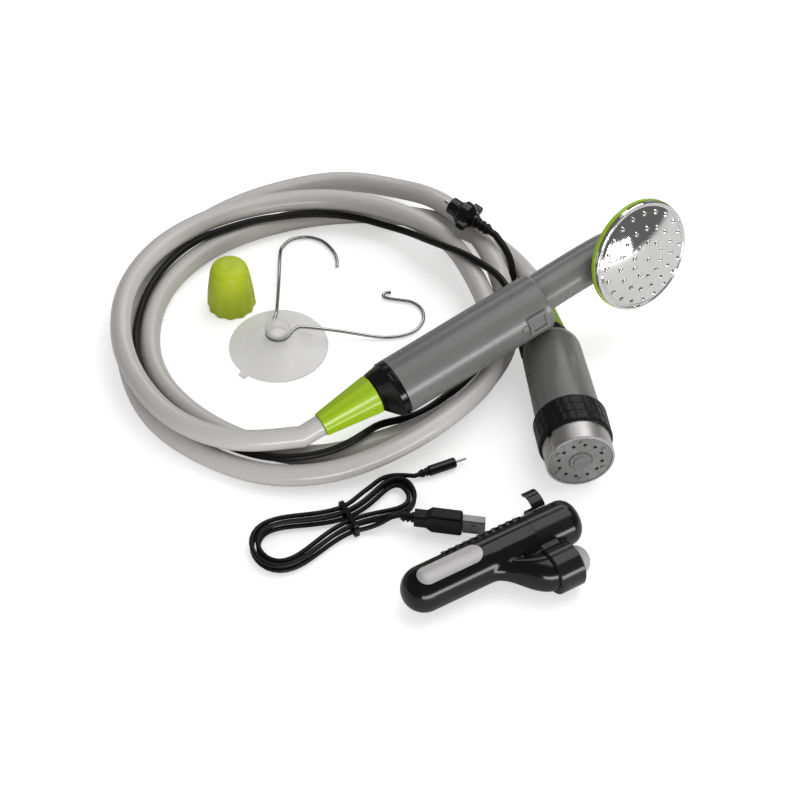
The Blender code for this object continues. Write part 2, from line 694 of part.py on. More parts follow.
def make_handset_inlet(home, inlet):
    small = BARREL_RADIUS - INLET_OFFSET
    count = ROUND_STEPS
    collar = loft("handset_end_collar", [
        circle(small - 0.0006, -COLLAR_LENGTH, count, -INLET_OFFSET),
        circle(small, -COLLAR_LENGTH + 0.0008, count, -INLET_OFFSET),
        circle(BARREL_RADIUS - 0.0008, -COLLAR_BAND, count),
        circle(BARREL_RADIUS, -COLLAR_BAND + 0.0008, count),
        circle(BARREL_RADIUS, -BARREL_EDGE * 0.25, count),
        circle(BARREL_RADIUS - BARREL_EDGE * 0.25, 0.0, count),
    ], home, BLACK_PLASTIC)
    through = disc("cut_collar_bore", COLLAR_BORE, -COLLAR_LENGTH * 2.0, COLLAR_LENGTH, inlet, steps=SMALL_STEPS)
    cut(collar, through)
    for i in range(COLLAR_SLOTS):
        angle = 2.0 * math.pi * (i + 0.35) / COLLAR_SLOTS
        slot = block(f"cut_collar_slot_{i}", (2.0 * COLLAR_SLOT_DEPTH, COLLAR_SLOT_LENGTH, COLLAR_SLOT_WIDTH),
                     (BARREL_RADIUS * math.cos(angle), BARREL_RADIUS * math.sin(angle), -COLLAR_BAND * 0.45),
                     home, turn=(0.0, 0.0, angle))
        cut(collar, slot)
    hose_barb("handset_hose_barb", inlet, GAP + BARB_FLANGE, -COLLAR_LENGTH, -1)
    hose_nut("handset_hose_nut", inlet, -COLLAR_LENGTH - GAP, -1)
    start = 2.0 * GAP + BARB_FLANGE
    ring("handset_water_tube", WATER_TUBE_RADIUS, WATER_TUBE_BORE, start, BARREL_LENGTH + WATER_TUBE_INSERT,
         inlet, WHITE_PLASTIC, steps=SMALL_STEPS)


def plate_height(radius):
    """Height of the crowned spray plate above the rim plane at a radius."""
    return PLATE_RISE * (1.0 - (radius / (RIM_RADIUS - RIM_LIP)) ** 2)


def make_spray_head(home, inlet):
    tilt = math.radians(FACE_TILT)
    face = bpy.data.objects.new("spray_face_frame", None)
    PARTS.objects.link(face)
    face.parent = home
    outward = Vector((math.cos(tilt), 0.0, math.sin(tilt)))
    along = Vector((-math.sin(tilt), 0.0, math.cos(tilt)))
    sideways = outward.cross(along)
    turn = Matrix((along, sideways, outward)).transposed().to_4x4()
    face.matrix_local = Matrix.Translation(Vector((FACE_FORWARD, 0.0, FACE_ALONG))) @ turn
    make_spray_plate(face)
    back = -RIM_THICKNESS - TRIM_THICKNESS
    ring("head_trim_ring", TRIM_RADIUS, TRIM_INNER, back + GAP, -RIM_THICKNESS - GAP, face, GREEN_PLASTIC)
    ring("head_gasket", GASKET_OUTER, GASKET_INNER, back + GAP, -RIM_THICKNESS - GAP, face, BLACK_RUBBER,
         steps=INNER_STEPS)
    make_neck(home, face, back)
    floor = back - CHAMBER_DEPTH
    low = floor + GAP
    top = low + DIFFUSER_SKIRT + DIFFUSER_PLATE
    diffuser = turned("flow_diffuser", [
        (0.0, top), (DIFFUSER_RADIUS, top), (DIFFUSER_RADIUS, low), (DIFFUSER_RADIUS - 0.0015, low),
        (DIFFUSER_RADIUS - 0.0015, top - DIFFUSER_PLATE), (0.0, top - DIFFUSER_PLATE),
    ], face, WHITE_PLASTIC, steps=SMALL_STEPS)
    for i in range(DIFFUSER_HOLES):
        angle = 2.0 * math.pi * (i + 0.3) / DIFFUSER_HOLES
        hole = disc(f"cut_diffuser_{i}", DIFFUSER_HOLE, low - DIFFUSER_PLATE, top + DIFFUSER_PLATE, face, steps=6)
        hole.location = (DIFFUSER_RADIUS * 0.55 * math.cos(angle), DIFFUSER_RADIUS * 0.55 * math.sin(angle), 0.0)
        cut(diffuser, hole)


def make_spray_plate(face):
    edge = RIM_RADIUS - RIM_LIP
    crown = [0.0, 0.3, 0.55, 0.78, 0.94]
    outer = [(edge * part, plate_height(edge * part)) for part in crown]
    lip = [(edge - 0.0004, -0.0004), (edge + 0.0003, -0.0004), (edge + 0.0007, 0.0), (RIM_RADIUS - 0.0006, 0.0),
           (RIM_RADIUS, -0.0006), (RIM_RADIUS, -RIM_THICKNESS), (edge - PLATE_WALL, -RIM_THICKNESS)]
    inner = [(edge * part, plate_height(edge * part) - PLATE_WALL) for part in (0.93, 0.6, 0.0)]
    plate = turned("spray_plate", outer + lip + inner, face, CHROME)
    build = bmesh.new()
    spots = [(0.0, 0.0)]
    for radius, count in NOZZLE_RINGS:
        spots += [(radius, 2.0 * math.pi * i / count) for i in range(count)]
    height = NOZZLE_HEIGHT + PLATE_WALL * 0.5
    for radius, angle in spots:
        base = plate_height(radius) - PLATE_WALL * 0.5
        place = Matrix.Translation((radius * math.cos(angle), radius * math.sin(angle), base + height / 2.0))
        bmesh.ops.create_cone(build, cap_ends=True, segments=NOZZLE_SIDES, radius1=NOZZLE_BASE_RADIUS,
                              radius2=NOZZLE_TIP_RADIUS, depth=height, matrix=place)
    mesh = bpy.data.meshes.new("add_nozzles")
    build.to_mesh(mesh)
    build.free()
    unite(plate, add_object("add_nozzles", mesh, face, cutter=True))


def make_neck(home, face, back):
    """Neck and bowl of the head as one moulding, open at the chamber behind the spray plate."""
    far = FACE_ALONG
    path = (
        (BARREL_LENGTH + GAP, -INLET_OFFSET, NECK_RADIUS),
        (BARREL_LENGTH + 0.016, -INLET_OFFSET, NECK_RADIUS),
        (far - 0.019, -INLET_OFFSET + 0.0008, NECK_RADIUS - 0.0004),
        (far - 0.008, -INLET_OFFSET + 0.0028, NECK_RADIUS - 0.0020),
        (far + 0.006, -INLET_OFFSET + 0.0070, NECK_RADIUS - 0.0085),
    )
    neck = loft("handset_neck", [circle(radius, height, ROUND_STEPS, x) for height, x, radius in path],
                home, GREY_PLASTIC)
    deep = back - BOWL_DEPTH
    parts = (1.0, 0.92, 0.75, 0.45)
    profile = [(0.0, back + 0.002), (BOWL_RIM_RADIUS, back + 0.002), (BOWL_RIM_RADIUS, back - 0.0007)]
    profile += [(BOWL_RIM_RADIUS * part, back - BOWL_DEPTH * math.sqrt(1.0 - part * part) * 0.98)
                for part in parts[1:]]
    profile.append((0.0, deep))
    bowl = turned("add_bowl", profile, face)
    unite(neck, bowl)
    front = block("cut_head_front", (0.09, 0.09, 0.05), (0.0, 0.0, back + 0.025), face)
    cut(neck, front)
    chamber = disc("cut_head_chamber", CHAMBER_RADIUS, back - CHAMBER_DEPTH, back + 0.01, face)
    cut(neck, chamber)
    socket = disc("cut_neck_socket", WATER_TUBE_RADIUS + GAP, BARREL_LENGTH - 0.01,
                  BARREL_LENGTH + WATER_TUBE_INSERT + GAP, home, steps=SMALL_STEPS)
    socket.location.x = -INLET_OFFSET
    cut(neck, socket)
    bore = disc("cut_neck_bore", WATER_TUBE_BORE, BARREL_LENGTH, far, home, steps=TINY_STEPS)
    bore.location.x = -INLET_OFFSET
    cut(neck, bore)
    rise = disc("cut_head_rise", HEAD_RISE_BORE, back - CHAMBER_DEPTH - 0.010, back - CHAMBER_DEPTH + 0.002, face,
                steps=8)
    rise.location.x = -0.003
    cut(neck, rise)


def make_pump():
    axis = heading(PUMP_AZIMUTH, -PUMP_DROP)
    right = axis.cross(Vector((0.0, 0.0, 1.0)))
    home = frame("pump_frame", kit_point(PUMP_FACE), axis, right)
    make_strainer(home)
    make_pump_housing(home)
    make_pump_drive(home)
    return home


def make_strainer(home):
    inner = INTAKE_COLLAR_RADIUS - INTAKE_COLLAR_WALL
    plate_back = PLATE_RECESS + PLATE_THICKNESS
    shelf = plate_back + GAP
    collar = turned("strainer_collar", [
        (INTAKE_COLLAR_RADIUS, INTAKE_COLLAR_LENGTH), (INTAKE_COLLAR_RADIUS, 0.0004),
        (INTAKE_COLLAR_RADIUS - 0.0004, 0.0), (inner, 0.0), (inner, shelf), (inner - INTAKE_SHELF, shelf),
        (inner - INTAKE_SHELF, shelf + 0.001), (inner, shelf + 0.0024), (inner, INTAKE_COLLAR_LENGTH),
    ], home, CHROME)
    angle = math.radians(INTAKE_NOTCH_ANGLE)
    notch = block("cut_collar_notch", (2.0 * INTAKE_NOTCH_DEPTH, INTAKE_NOTCH_WIDTH, INTAKE_COLLAR_LENGTH * 2.2),
                  (INTAKE_COLLAR_RADIUS * math.cos(angle), INTAKE_COLLAR_RADIUS * math.sin(angle), 0.0),
                  home, turn=(0.0, 0.0, angle))
    cut(collar, notch)
    plate = turned("intake_plate", [
        (inner - GAP, plate_back), (inner - GAP, PLATE_RECESS), (LENS_RADIUS + GAP, PLATE_RECESS),
        (LENS_RADIUS + GAP, plate_back),
    ], home, GREY_PLASTIC)
    for count, circle_radius, hole_radius, sides, shift, word in (
        (INTAKE_HOLES, INTAKE_HOLE_CIRCLE, INTAKE_HOLE_RADIUS, 6, 0.3, "intake"),
        (STUDS, STUD_CIRCLE, STUD_RADIUS + 2.0 * GAP, 6, 0.5, "stud"),
    ):
        build = bmesh.new()
        for i in range(count):
            turn = 2.0 * math.pi * (i + shift) / count
            place = Matrix.Translation((circle_radius * math.cos(turn), circle_radius * math.sin(turn), 0.001))
            bmesh.ops.create_cone(build, cap_ends=True, segments=sides, radius1=hole_radius, radius2=hole_radius,
                                  depth=0.008, matrix=place)
        mesh = bpy.data.meshes.new(f"cut_{word}_holes")
        build.to_mesh(mesh)
        build.free()
        cut(plate, add_object(f"cut_{word}_holes", mesh, home, cutter=True))
    foot = ring("clear_foot_ring", STUD_CIRCLE + FOOT_RING_BAND, STUD_CIRCLE - FOOT_RING_BAND, shelf,
                shelf + FOOT_RING_THICKNESS, home, CLEAR_PLASTIC)
    build = bmesh.new()
    low = PLATE_RECESS - STUD_HEIGHT
    high = shelf + FOOT_RING_THICKNESS * 0.5
    for i in range(STUDS):
        turn = 2.0 * math.pi * (i + 0.5) / STUDS
        place = Matrix.Translation((STUD_CIRCLE * math.cos(turn), STUD_CIRCLE * math.sin(turn), (low + high) / 2.0))
        bmesh.ops.create_cone(build, cap_ends=True, segments=6, radius1=STUD_RADIUS * 0.8, radius2=STUD_RADIUS * 0.9,
                              depth=high - low, matrix=place)
    mesh = bpy.data.meshes.new("add_studs")
    build.to_mesh(mesh)
    build.free()
    unite(foot, add_object("add_studs", mesh, home, cutter=True))
    flange = LENS_RADIUS + LENS_FLANGE
    turned("centre_lens", [
        (0.0, shelf + FOOT_RING_THICKNESS), (flange, shelf + FOOT_RING_THICKNESS), (flange, shelf),
        (LENS_RADIUS, shelf), (LENS_RADIUS, PLATE_RECESS), (LENS_RADIUS * 0.94, -LENS_CROWN * 0.35),
        (LENS_RADIUS * 0.7, -LENS_CROWN * 0.4), (LENS_RADIUS * 0.6, -LENS_CROWN), (0.0, -LENS_CROWN),
    ], home, CLEAR_PLASTIC, steps=SMALL_STEPS)
    front = INTAKE_COLLAR_LENGTH + GAP
    lip_end = front + GRIP_LIP
    bore = HOUSING_LARGE_RADIUS + GAP
    end = front + GRIP_LENGTH
    ribs = [(front, GRIP_RADIUS - 0.0006, 0.0), (front + 0.0016, GRIP_RADIUS, GRIP_RIB_DEPTH),
            (end - 0.0016, GRIP_RADIUS, GRIP_RIB_DEPTH), (end, GRIP_RADIUS - 0.0006, 0.0)]
    outer = [fluted_circle(radius, height, GRIP_RIBS, depth) for height, radius, depth in ribs]
    count = len(outer[0])
    lip = inner + GAP
    loft("strainer_grip_ring", outer + [
        circle(bore, end, count), circle(bore, lip_end, count), circle(lip, lip_end, count),
        circle(lip, front, count),
    ], home, BLACK_RUBBER, closed=True)
    middle = front + O_RING_RADIUS + 0.0001
    seat = inner - O_RING_RADIUS
    ring("strainer_o_ring", seat + O_RING_RADIUS, seat - O_RING_RADIUS, middle - O_RING_RADIUS,
         middle + O_RING_RADIUS, home, BLACK_RUBBER)


def housing_radius(height):
    """Outer radius of the tapered part of the pump housing."""
    start = INTAKE_COLLAR_LENGTH + 2.0 * GAP + GRIP_LIP
    part = (height - start) / (HOUSING_SHOULDER_AT - start)
    return HOUSING_LARGE_RADIUS + part * (HOUSING_SHOULDER_RADIUS - HOUSING_LARGE_RADIUS)


def make_pump_housing(home):
    front = INTAKE_COLLAR_LENGTH + 2.0 * GAP + GRIP_LIP
    round_length = HOUSING_LENGTH - HOUSING_SHOULDER_AT
    drop = HOUSING_SHOULDER_RADIUS - HOUSING_NECK_RADIUS
    outer = [(0.0, HOUSING_LENGTH)]
    for i in range(6):
        angle = math.radians(90.0 - 18.0 * i)
        outer.append((HOUSING_NECK_RADIUS + drop * math.cos(angle),
                      HOUSING_SHOULDER_AT + round_length * math.sin(angle)))
    outer.append((HOUSING_LARGE_RADIUS, front))
    inside = HOUSING_LENGTH - HOUSING_END_WALL
    shoulder = HOUSING_SHOULDER_AT - 0.002
    bore_shoulder = HOUSING_SHOULDER_RADIUS - HOUSING_WALL
    stop = CHAMBER_PLATE_AT + CHAMBER_PLATE_THICKNESS + GAP
    bore_stop = housing_radius(stop) - HOUSING_WALL
    inner = [(housing_radius(front) - HOUSING_WALL, front), (bore_stop, stop), (bore_stop - 0.0012, stop),
             (bore_shoulder - 0.0006, shoulder), (HOUSING_NECK_RADIUS - 0.002, inside), (0.0, inside)]
    housing = turned("pump_housing", outer + inner, home, GREY_PLASTIC)
    outlet = disc("cut_outlet", BARB_SHANK_RADIUS + GAP, inside - 0.004, HOUSING_LENGTH + 0.004, home,
                  steps=SMALL_STEPS)
    cut(housing, outlet)
    gland_hole = disc("cut_gland_hole", GLAND_ROOT_RADIUS + GAP, HOUSING_SHOULDER_AT + 0.0008,
                      HOUSING_LENGTH + 0.01, home, steps=TINY_STEPS)
    gland_hole.location.x = -GLAND_OFFSET
    cut(housing, gland_hole)
    gland = turned("pump_cable_gland", [
        (0.0, GLAND_TIP_AT), (GLAND_TIP_RADIUS, GLAND_TIP_AT), (GLAND_ROOT_RADIUS, HOUSING_LENGTH),
        (GLAND_ROOT_RADIUS, HOUSING_SHOULDER_AT + 0.0008 + GAP), (0.0, HOUSING_SHOULDER_AT + 0.0008 + GAP),
    ], home, BLACK_RUBBER, steps=TINY_STEPS)
    gland.location.x = -GLAND_OFFSET
    cap_low = HOUSING_LENGTH + GAP
    cap_top = cap_low + TOP_CAP_LENGTH
    cap = turned("pump_top_cap", [
        (TOP_CAP_RADIUS - 0.0012, cap_top), (TOP_CAP_RADIUS, cap_top - 0.0012), (TOP_CAP_RADIUS, cap_low),
        (BARB_SHANK_RADIUS + GAP, cap_low), (BARB_SHANK_RADIUS + GAP, cap_top),
    ], home, BLACK_PLASTIC)
    for i in range(TOP_CAP_NOTCHES):
        angle = 2.0 * math.pi * (i + 0.5) / TOP_CAP_NOTCHES
        notch = block(f"cut_cap_notch_{i}", (2.0 * TOP_CAP_NOTCH_DEPTH, TOP_CAP_NOTCH_WIDTH, TOP_CAP_LENGTH * 0.9),
                      (TOP_CAP_RADIUS * math.cos(angle), TOP_CAP_RADIUS * math.sin(angle), cap_top),
                      home, turn=(0.0, 0.0, angle))
        cut(cap, notch)
    hose_barb("pump_outlet_barb", home, inside - GAP - BARB_FLANGE, cap_top, 1)
    hose_nut("pump_hose_nut", home, cap_top + GAP, 1)


def make_pump_drive(home):
    plate_low = CHAMBER_PLATE_AT
    plate_high = plate_low + CHAMBER_PLATE_THICKNESS
    plate_radius = housing_radius(plate_high) - HOUSING_WALL - GAP
    hole = SHAFT_RADIUS + SHAFT_CLEARANCE
    ring("pump_chamber_plate", plate_radius, hole, plate_low, plate_high, home, WHITE_PLASTIC,
         steps=INNER_STEPS)
    motor_low = plate_high + GAP
    motor_high = motor_low + MOTOR_LENGTH
    pocket = motor_low + SHAFT_INTO_MOTOR
    turned("motor_can", [
        (0.0, motor_high), (MOTOR_RADIUS - MOTOR_EDGE, motor_high), (MOTOR_RADIUS, motor_high - MOTOR_EDGE),
        (MOTOR_RADIUS, motor_low), (hole, motor_low), (hole, pocket + GAP), (0.0, pocket + GAP),
    ], home, STEEL, steps=SMALL_STEPS)
    seal_high = plate_low - GAP
    ring("shaft_seal", SEAL_RADIUS, hole, seal_high - SEAL_THICKNESS, seal_high, home, BLACK_RUBBER,
         steps=TINY_STEPS)
    disc_high = seal_high - SEAL_THICKNESS - GAP
    disc_low = disc_high - IMPELLER_DISC
    blade_low = disc_low - IMPELLER_BLADE_HEIGHT
    impeller = turned("impeller", [
        (0.0, pocket), (SHAFT_RADIUS, pocket), (SHAFT_RADIUS, disc_high), (IMPELLER_RADIUS, disc_high),
        (IMPELLER_RADIUS, disc_low), (IMPELLER_HUB_RADIUS, disc_low), (IMPELLER_HUB_RADIUS, blade_low),
        (0.0, blade_low),
    ], home, WHITE_PLASTIC, steps=SMALL_STEPS)
    reach = IMPELLER_RADIUS - IMPELLER_HUB_RADIUS * 0.6
    for i in range(IMPELLER_BLADES):
        angle = 2.0 * math.pi * i / IMPELLER_BLADES
        middle = IMPELLER_HUB_RADIUS * 0.6 + reach * 0.48
        lean = angle + math.radians(25.0)
        blade = block(f"add_blade_{i}", (reach * 0.86, IMPELLER_BLADE_THICKNESS, IMPELLER_BLADE_HEIGHT),
                      (middle * math.cos(angle), middle * math.sin(angle),
                       (blade_low + disc_low) / 2.0 + BITE), home, turn=(0.0, 0.0, lean))
        unite(impeller, blade)


def pack_outline(offset, low, high):
    """Profile of the rounded tube from high down to low, grown by an offset."""
    points = []
    radius = PACK_RADIUS + offset
    points.append((radius, high))
    points.append((radius, 0.0))
    for i in range(1, 7):
        angle = math.radians(15.0 * i)
        height = -PACK_RADIUS * math.sin(angle)
        if height <= low:
            break
        points.append((radius * math.cos(angle), height - offset * math.sin(angle)))
    return points


def make_pack():
    axis = heading(PACK_AZIMUTH)
    origin = kit_point((PACK_END_CENTRE[0], PACK_END_CENTRE[1], PACK_RADIUS))
    home = frame("pack_frame", origin, axis, (0.0, 0.0, 1.0))
    switch = bpy.data.objects.new("pack_switch_axis", None)
    PARTS.objects.link(switch)
    switch.parent = home
    switch.location = (0.0, SWITCH_OFFSET, 0.0)
    make_pack_body(home, switch)
    make_pack_head(home, switch)
    make_pack_trim(home)
    make_pack_inside(home, switch)
    return home, switch


def web_block(name, low, high, height, home):
    made = block(name, (2.0 * height, SWITCH_OFFSET, high - low), (0.0, SWITCH_OFFSET / 2.0, (low + high) / 2.0),
                 home)
    return made


def make_pack_body(home, switch):
    seam = PACK_SEAM_AT
    profile = [(0.0, seam)] + pack_outline(0.0, -PACK_RADIUS, seam) + [(0.0, -PACK_RADIUS)]
    body = turned("pack_body", profile, home, BLACK_PLASTIC)
    flare = [(0.0, seam), (SWITCH_ROOT_RADIUS, seam), (SWITCH_ROOT_RADIUS - 0.0006, seam - 0.006),
             (SWITCH_ROOT_RADIUS - 0.0018, seam - 0.013), (SWITCH_ROOT_RADIUS - 0.0038, seam - 0.020),
             (SWITCH_ROOT_RADIUS - 0.0062, seam - 0.0255), (0.0, seam - 0.0275)]
    unite(body, turned("add_flare", flare, switch))
    rows = []
    for part, low, half in ((0.1, seam - 0.040, 0.0100), (0.45, seam - 0.030, 0.0068), (0.75, seam - 0.0255, 0.0045),
                            (1.0, seam - 0.022, 0.0038)):
        y = SWITCH_OFFSET * part
        rows.append([Vector((half, y, seam)), Vector((-half, y, seam)), Vector((-half * 0.8, y, low)),
                     Vector((half * 0.8, y, low))])
    unite(body, loft("add_body_web", rows, home))
    cell_low = CELL_START - GAP
    cut(body, disc("cut_cell_bore", CELL_RADIUS + GAP, cell_low, seam + 0.01, home))
    build = bmesh.new()
    angle = math.radians(RIB_ANGLE)
    out = Vector((math.sin(angle), math.cos(angle), 0.0))
    turn = Matrix.Rotation(math.atan2(out.y, out.x), 4, "Z")
    depth = RIB_HEIGHT + 0.001
    pitch = (seam - RIB_FIRST - RIB_SEAM_CLEARANCE) / (RIB_COUNT - 1)
    for i in range(RIB_COUNT):
        at = out * (PACK_RADIUS - 0.001 + depth / 2.0) + Vector((0.0, 0.0, RIB_FIRST + pitch * i))
        size = Matrix.Diagonal((depth, RIB_SPAN, RIB_WIDTH, 1.0))
        bmesh.ops.create_cube(build, size=1.0, matrix=Matrix.Translation(at) @ turn @ size)
    mesh = bpy.data.meshes.new("add_grip_ribs")
    build.to_mesh(mesh)
    build.free()
    unite(body, add_object("add_grip_ribs", mesh, home, cutter=True))


def make_pack_head(home, switch):
    seam = PACK_SEAM_AT + GAP
    end = PACK_LENGTH
    edge = PACK_END_EDGE
    rounding = [(PACK_RADIUS - edge + edge * math.cos(a), end - edge + edge * math.sin(a))
                for a in (math.radians(90.0 - 18.0 * i) for i in range(6))]
    head = turned("pack_head", [(0.0, end)] + rounding + [(PACK_RADIUS, seam), (0.0, seam)], home, BLACK_PLASTIC)
    collar_end = SWITCH_COLLAR_END
    chamfer = SWITCH_COLLAR_EDGE
    unite(head, turned("add_switch_collar", [
        (0.0, collar_end), (SWITCH_COLLAR_RADIUS - chamfer, collar_end),
        (SWITCH_COLLAR_RADIUS, collar_end - chamfer), (SWITCH_COLLAR_RADIUS, seam + chamfer),
        (SWITCH_COLLAR_RADIUS - chamfer, seam), (0.0, seam),
    ], switch))
    web = web_block("add_head_web", seam, WEB_END, WEB_HALF_HEIGHT, home)
    unite(head, web)
    pocket_floor = SWITCH_COLLAR_END - BUTTON_SKIRT - BUTTON_TRAVEL - SWITCH_HEIGHT - 2.0 * GAP
    pocket = disc("cut_button_pocket", BUTTON_RADIUS + GAP, pocket_floor, collar_end + 0.01, switch,
                  steps=SMALL_STEPS)
    pocket.rotation_euler.z = math.radians(5.0)
    cut(head, pocket)
    cut(head, disc("cut_socket_seat", SOCKET_RADIUS + GAP, end - SOCKET_DEPTH - GAP, end + 0.01, home,
                   steps=SMALL_STEPS))
    build_clip(head, home)


def build_clip(head, home):
    """The hanging clip: a tongue arched over the back of the tube, with a small tooth beside its root."""
    outer = CLIP_RADIUS
    inner = CLIP_RADIUS - CLIP_THICKNESS
    root_y = -PACK_RADIUS * 0.80
    root_x = PACK_RADIUS * 0.42
    angles = [math.radians(-20.0 + 25.0 * i) for i in range(8)]
    rows = []
    for angle in angles:
        out_y = root_y - outer + outer * math.cos(angle) * 1.0
        in_y = root_y - outer + inner * math.cos(angle) * 1.0
        out_x = root_x + outer * math.sin(angle) * 0.72
        in_x = root_x + inner * math.sin(angle) * 0.72
        low = CLIP_AT - CLIP_WIDTH / 2.0
        high = CLIP_AT + CLIP_WIDTH / 2.0
        rows.append([Vector((out_x, out_y, low)), Vector((out_x, out_y, high)),
                     Vector((in_x, in_y, high)), Vector((in_x, in_y, low))])
    clip = loft("hang_clip", rows, home, BLACK_PLASTIC)
    tooth = block("add_clip_tooth", (CLIP_TOOTH, CLIP_TOOTH * 1.3, CLIP_WIDTH),
                  (root_x * 0.9, root_y - CLIP_TOOTH * 0.4, CLIP_AT - CLIP_WIDTH * 0.6), home, bevel=0.0004)
    unite(clip, tooth)
    clearance = disc("cut_clip_seat", PACK_RADIUS + GAP, PACK_SEAM_AT - 0.02, PACK_LENGTH + 0.01, home)
    cut(clip, clearance)


def make_pack_trim(home):
    label = turned("label_plate", pack_outline(GAP + LABEL_THICKNESS, LABEL_START - 0.004, LABEL_START + LABEL_LENGTH
                                               + 0.004)
                   + list(reversed(pack_outline(GAP, LABEL_START - 0.004, LABEL_START + LABEL_LENGTH + 0.004))),
                   home, LABEL_SILVER)
    half = LABEL_WIDTH / 2.0
    low = LABEL_START + half
    high = LABEL_START + LABEL_LENGTH - half
    outline = []
    for centre, start in ((high, 0.0), (low, 180.0)):
        for i in range(9):
            angle = math.radians(start + 22.5 * i)
            outline.append((half * math.cos(angle), centre + half * math.sin(angle)))
    rows = [[Vector((x, y, z)) for y, z in outline] for x in (0.006, PACK_RADIUS * 1.4)]
    window = loft("keep_label_outline", rows, home)
    window.rotation_euler = (0.0, 0.0, math.radians(LABEL_TURN))
    combine(label, window, "INTERSECT")


def make_pack_inside(home, switch):
    disc("battery_cell", CELL_RADIUS, CELL_START, CELL_START + CELL_LENGTH, home, CELL_BLUE, steps=SMALL_STEPS)
    board_low = CELL_START + CELL_LENGTH + GAP
    disc("control_board", CELL_RADIUS, board_low, board_low + BOARD_THICKNESS, home, BOARD_GREEN,
         steps=SMALL_STEPS)
    floor = SWITCH_COLLAR_END - BUTTON_SKIRT - BUTTON_TRAVEL - SWITCH_HEIGHT - 2.0 * GAP
    disc("button_switch", SWITCH_RADIUS, floor + GAP, floor + GAP + SWITCH_HEIGHT, switch, STEEL, steps=TINY_STEPS)
    low = SWITCH_COLLAR_END - BUTTON_SKIRT
    top = SWITCH_COLLAR_END + BUTTON_HEIGHT
    dome = [(BUTTON_RADIUS * math.cos(a), SWITCH_COLLAR_END + 0.0008 + (BUTTON_HEIGHT - 0.0008) * math.sin(a))
            for a in (math.radians(75.0 - 15.0 * i) for i in range(6))]
    turned("power_button", [(0.0, top)] + dome + [(BUTTON_RADIUS, low), (0.0, low)], switch, BUTTON_GREY,
           steps=SMALL_STEPS)
    mouth = PACK_LENGTH
    deep = PACK_LENGTH - SOCKET_DEPTH
    turned("power_socket", [
        (SOCKET_RADIUS, mouth), (SOCKET_RADIUS, deep), (SOCKET_PIN_HOLE, deep), (SOCKET_PIN_HOLE, deep + SOCKET_FLOOR),
        (SOCKET_BORE, deep + SOCKET_FLOOR), (SOCKET_BORE, mouth),
    ], home, BLACK_PLASTIC, steps=SMALL_STEPS)


def make_hanger():
    home = frame("cup_frame", kit_point((*CUP_CENTRE, 0.0)), (0.0, 0.0, 1.0), (1.0, 0.0, 0.0))
    groove_top = WIRE_HEIGHT + WIRE_RADIUS + 0.0004
    groove_low = WIRE_HEIGHT - WIRE_RADIUS - 0.0004
    cup = turned("suction_cup", [
        (0.0, KNOB_TOP), (KNOB_RADIUS - 0.0009, KNOB_TOP - 0.0002), (KNOB_RADIUS, KNOB_TOP - 0.0011),
        (KNOB_RADIUS, groove_top + 0.0006), (KNOB_WAIST, groove_top), (KNOB_WAIST, groove_low),
        (CUP_CROWN_RADIUS, CUP_HEIGHT), (CUP_SHOULDER_RADIUS, CUP_HEIGHT - 0.0014),
        (CUP_MIDDLE_RADIUS, CUP_HEIGHT - 0.0050), (CUP_SKIRT_RADIUS, 0.0015), (CUP_RADIUS, 0.0007),
        (CUP_RADIUS, 0.0), (CUP_RADIUS - 0.001, 0.0), (CUP_MIDDLE_RADIUS, CUP_HEIGHT - 0.0050 - CUP_WALL),
        (CUP_SHOULDER_RADIUS, CUP_HEIGHT - 0.0014 - CUP_WALL * 1.4), (0.0, 0.0054),
    ], home, CLEAR_PLASTIC)
    angle = math.radians(CUP_TAB_ANGLE)
    reach = CUP_RADIUS + CUP_TAB_LENGTH / 2.0 - 0.001
    tab = block("add_pull_tab", (CUP_TAB_LENGTH, CUP_TAB_WIDTH, 0.0007),
                (reach * math.cos(angle), reach * math.sin(angle), 0.00035), home, turn=(0.0, 0.0, angle))
    unite(cup, tab)
    path, _ = smooth_path([Vector(p) for p in hook_route()], WIRE_STEP)
    wire = tube("hanger_hook", path, WIRE_RADIUS, home, STEEL, 1)
    return home, wire


def hook_route():
    """Wire of the double hook in the cup's frame: one arm, the turn round the knob and the other arm."""
    around = KNOB_WAIST + WIRE_RADIUS + 0.0009
    turn = [tuple(p) for p in arc_points(around, (165, 200, 235, 270, 305, 335), WIRE_HEIGHT)]
    return [*HOOK_SHORT_ARM, *turn, *HOOK_LONG_ARM]


def make_spare_cap():
    home = frame("cap_frame", kit_point((*CAP_CENTRE, 0.0)), (0.0, 0.0, 1.0), (1.0, 0.0, 0.0))
    high = CAP_HEIGHT
    rows = (
        (0.0000, CAP_FOOT_RADIUS, CAP_FLUTE_DEPTH * 2.0), (high * 0.35, CAP_FOOT_RADIUS - 0.0008, CAP_FLUTE_DEPTH),
        (high * 0.62, CAP_FOOT_RADIUS - 0.0020, 0.0), (high * 0.84, CAP_TOP_RADIUS + 0.0006, 0.0),
        (high * 0.94, CAP_TOP_RADIUS - 0.0012, 0.0), (high, CAP_TOP_RADIUS - 0.0060, 0.0),
    )
    outer = [fluted_circle(radius, height, CAP_FLUTES, depth) for height, radius, depth in rows]
    cap = loft("spare_cap", outer, home, CAP_GREEN)
    bore = CAP_FOOT_RADIUS - CAP_FLUTE_DEPTH * 2.0 - CAP_WALL
    hollow = turned("cut_cap_hollow", [
        (0.0, high - 0.0032), (CAP_TOP_RADIUS - 0.0040, high - 0.0036), (CAP_TOP_RADIUS - CAP_WALL - 0.0004,
                                                                         high - 0.0068),
        (bore, high * 0.45), (bore, -0.002), (0.0, -0.002),
    ], home, steps=SMALL_STEPS * 2)
    cut(cap, hollow)
    return home


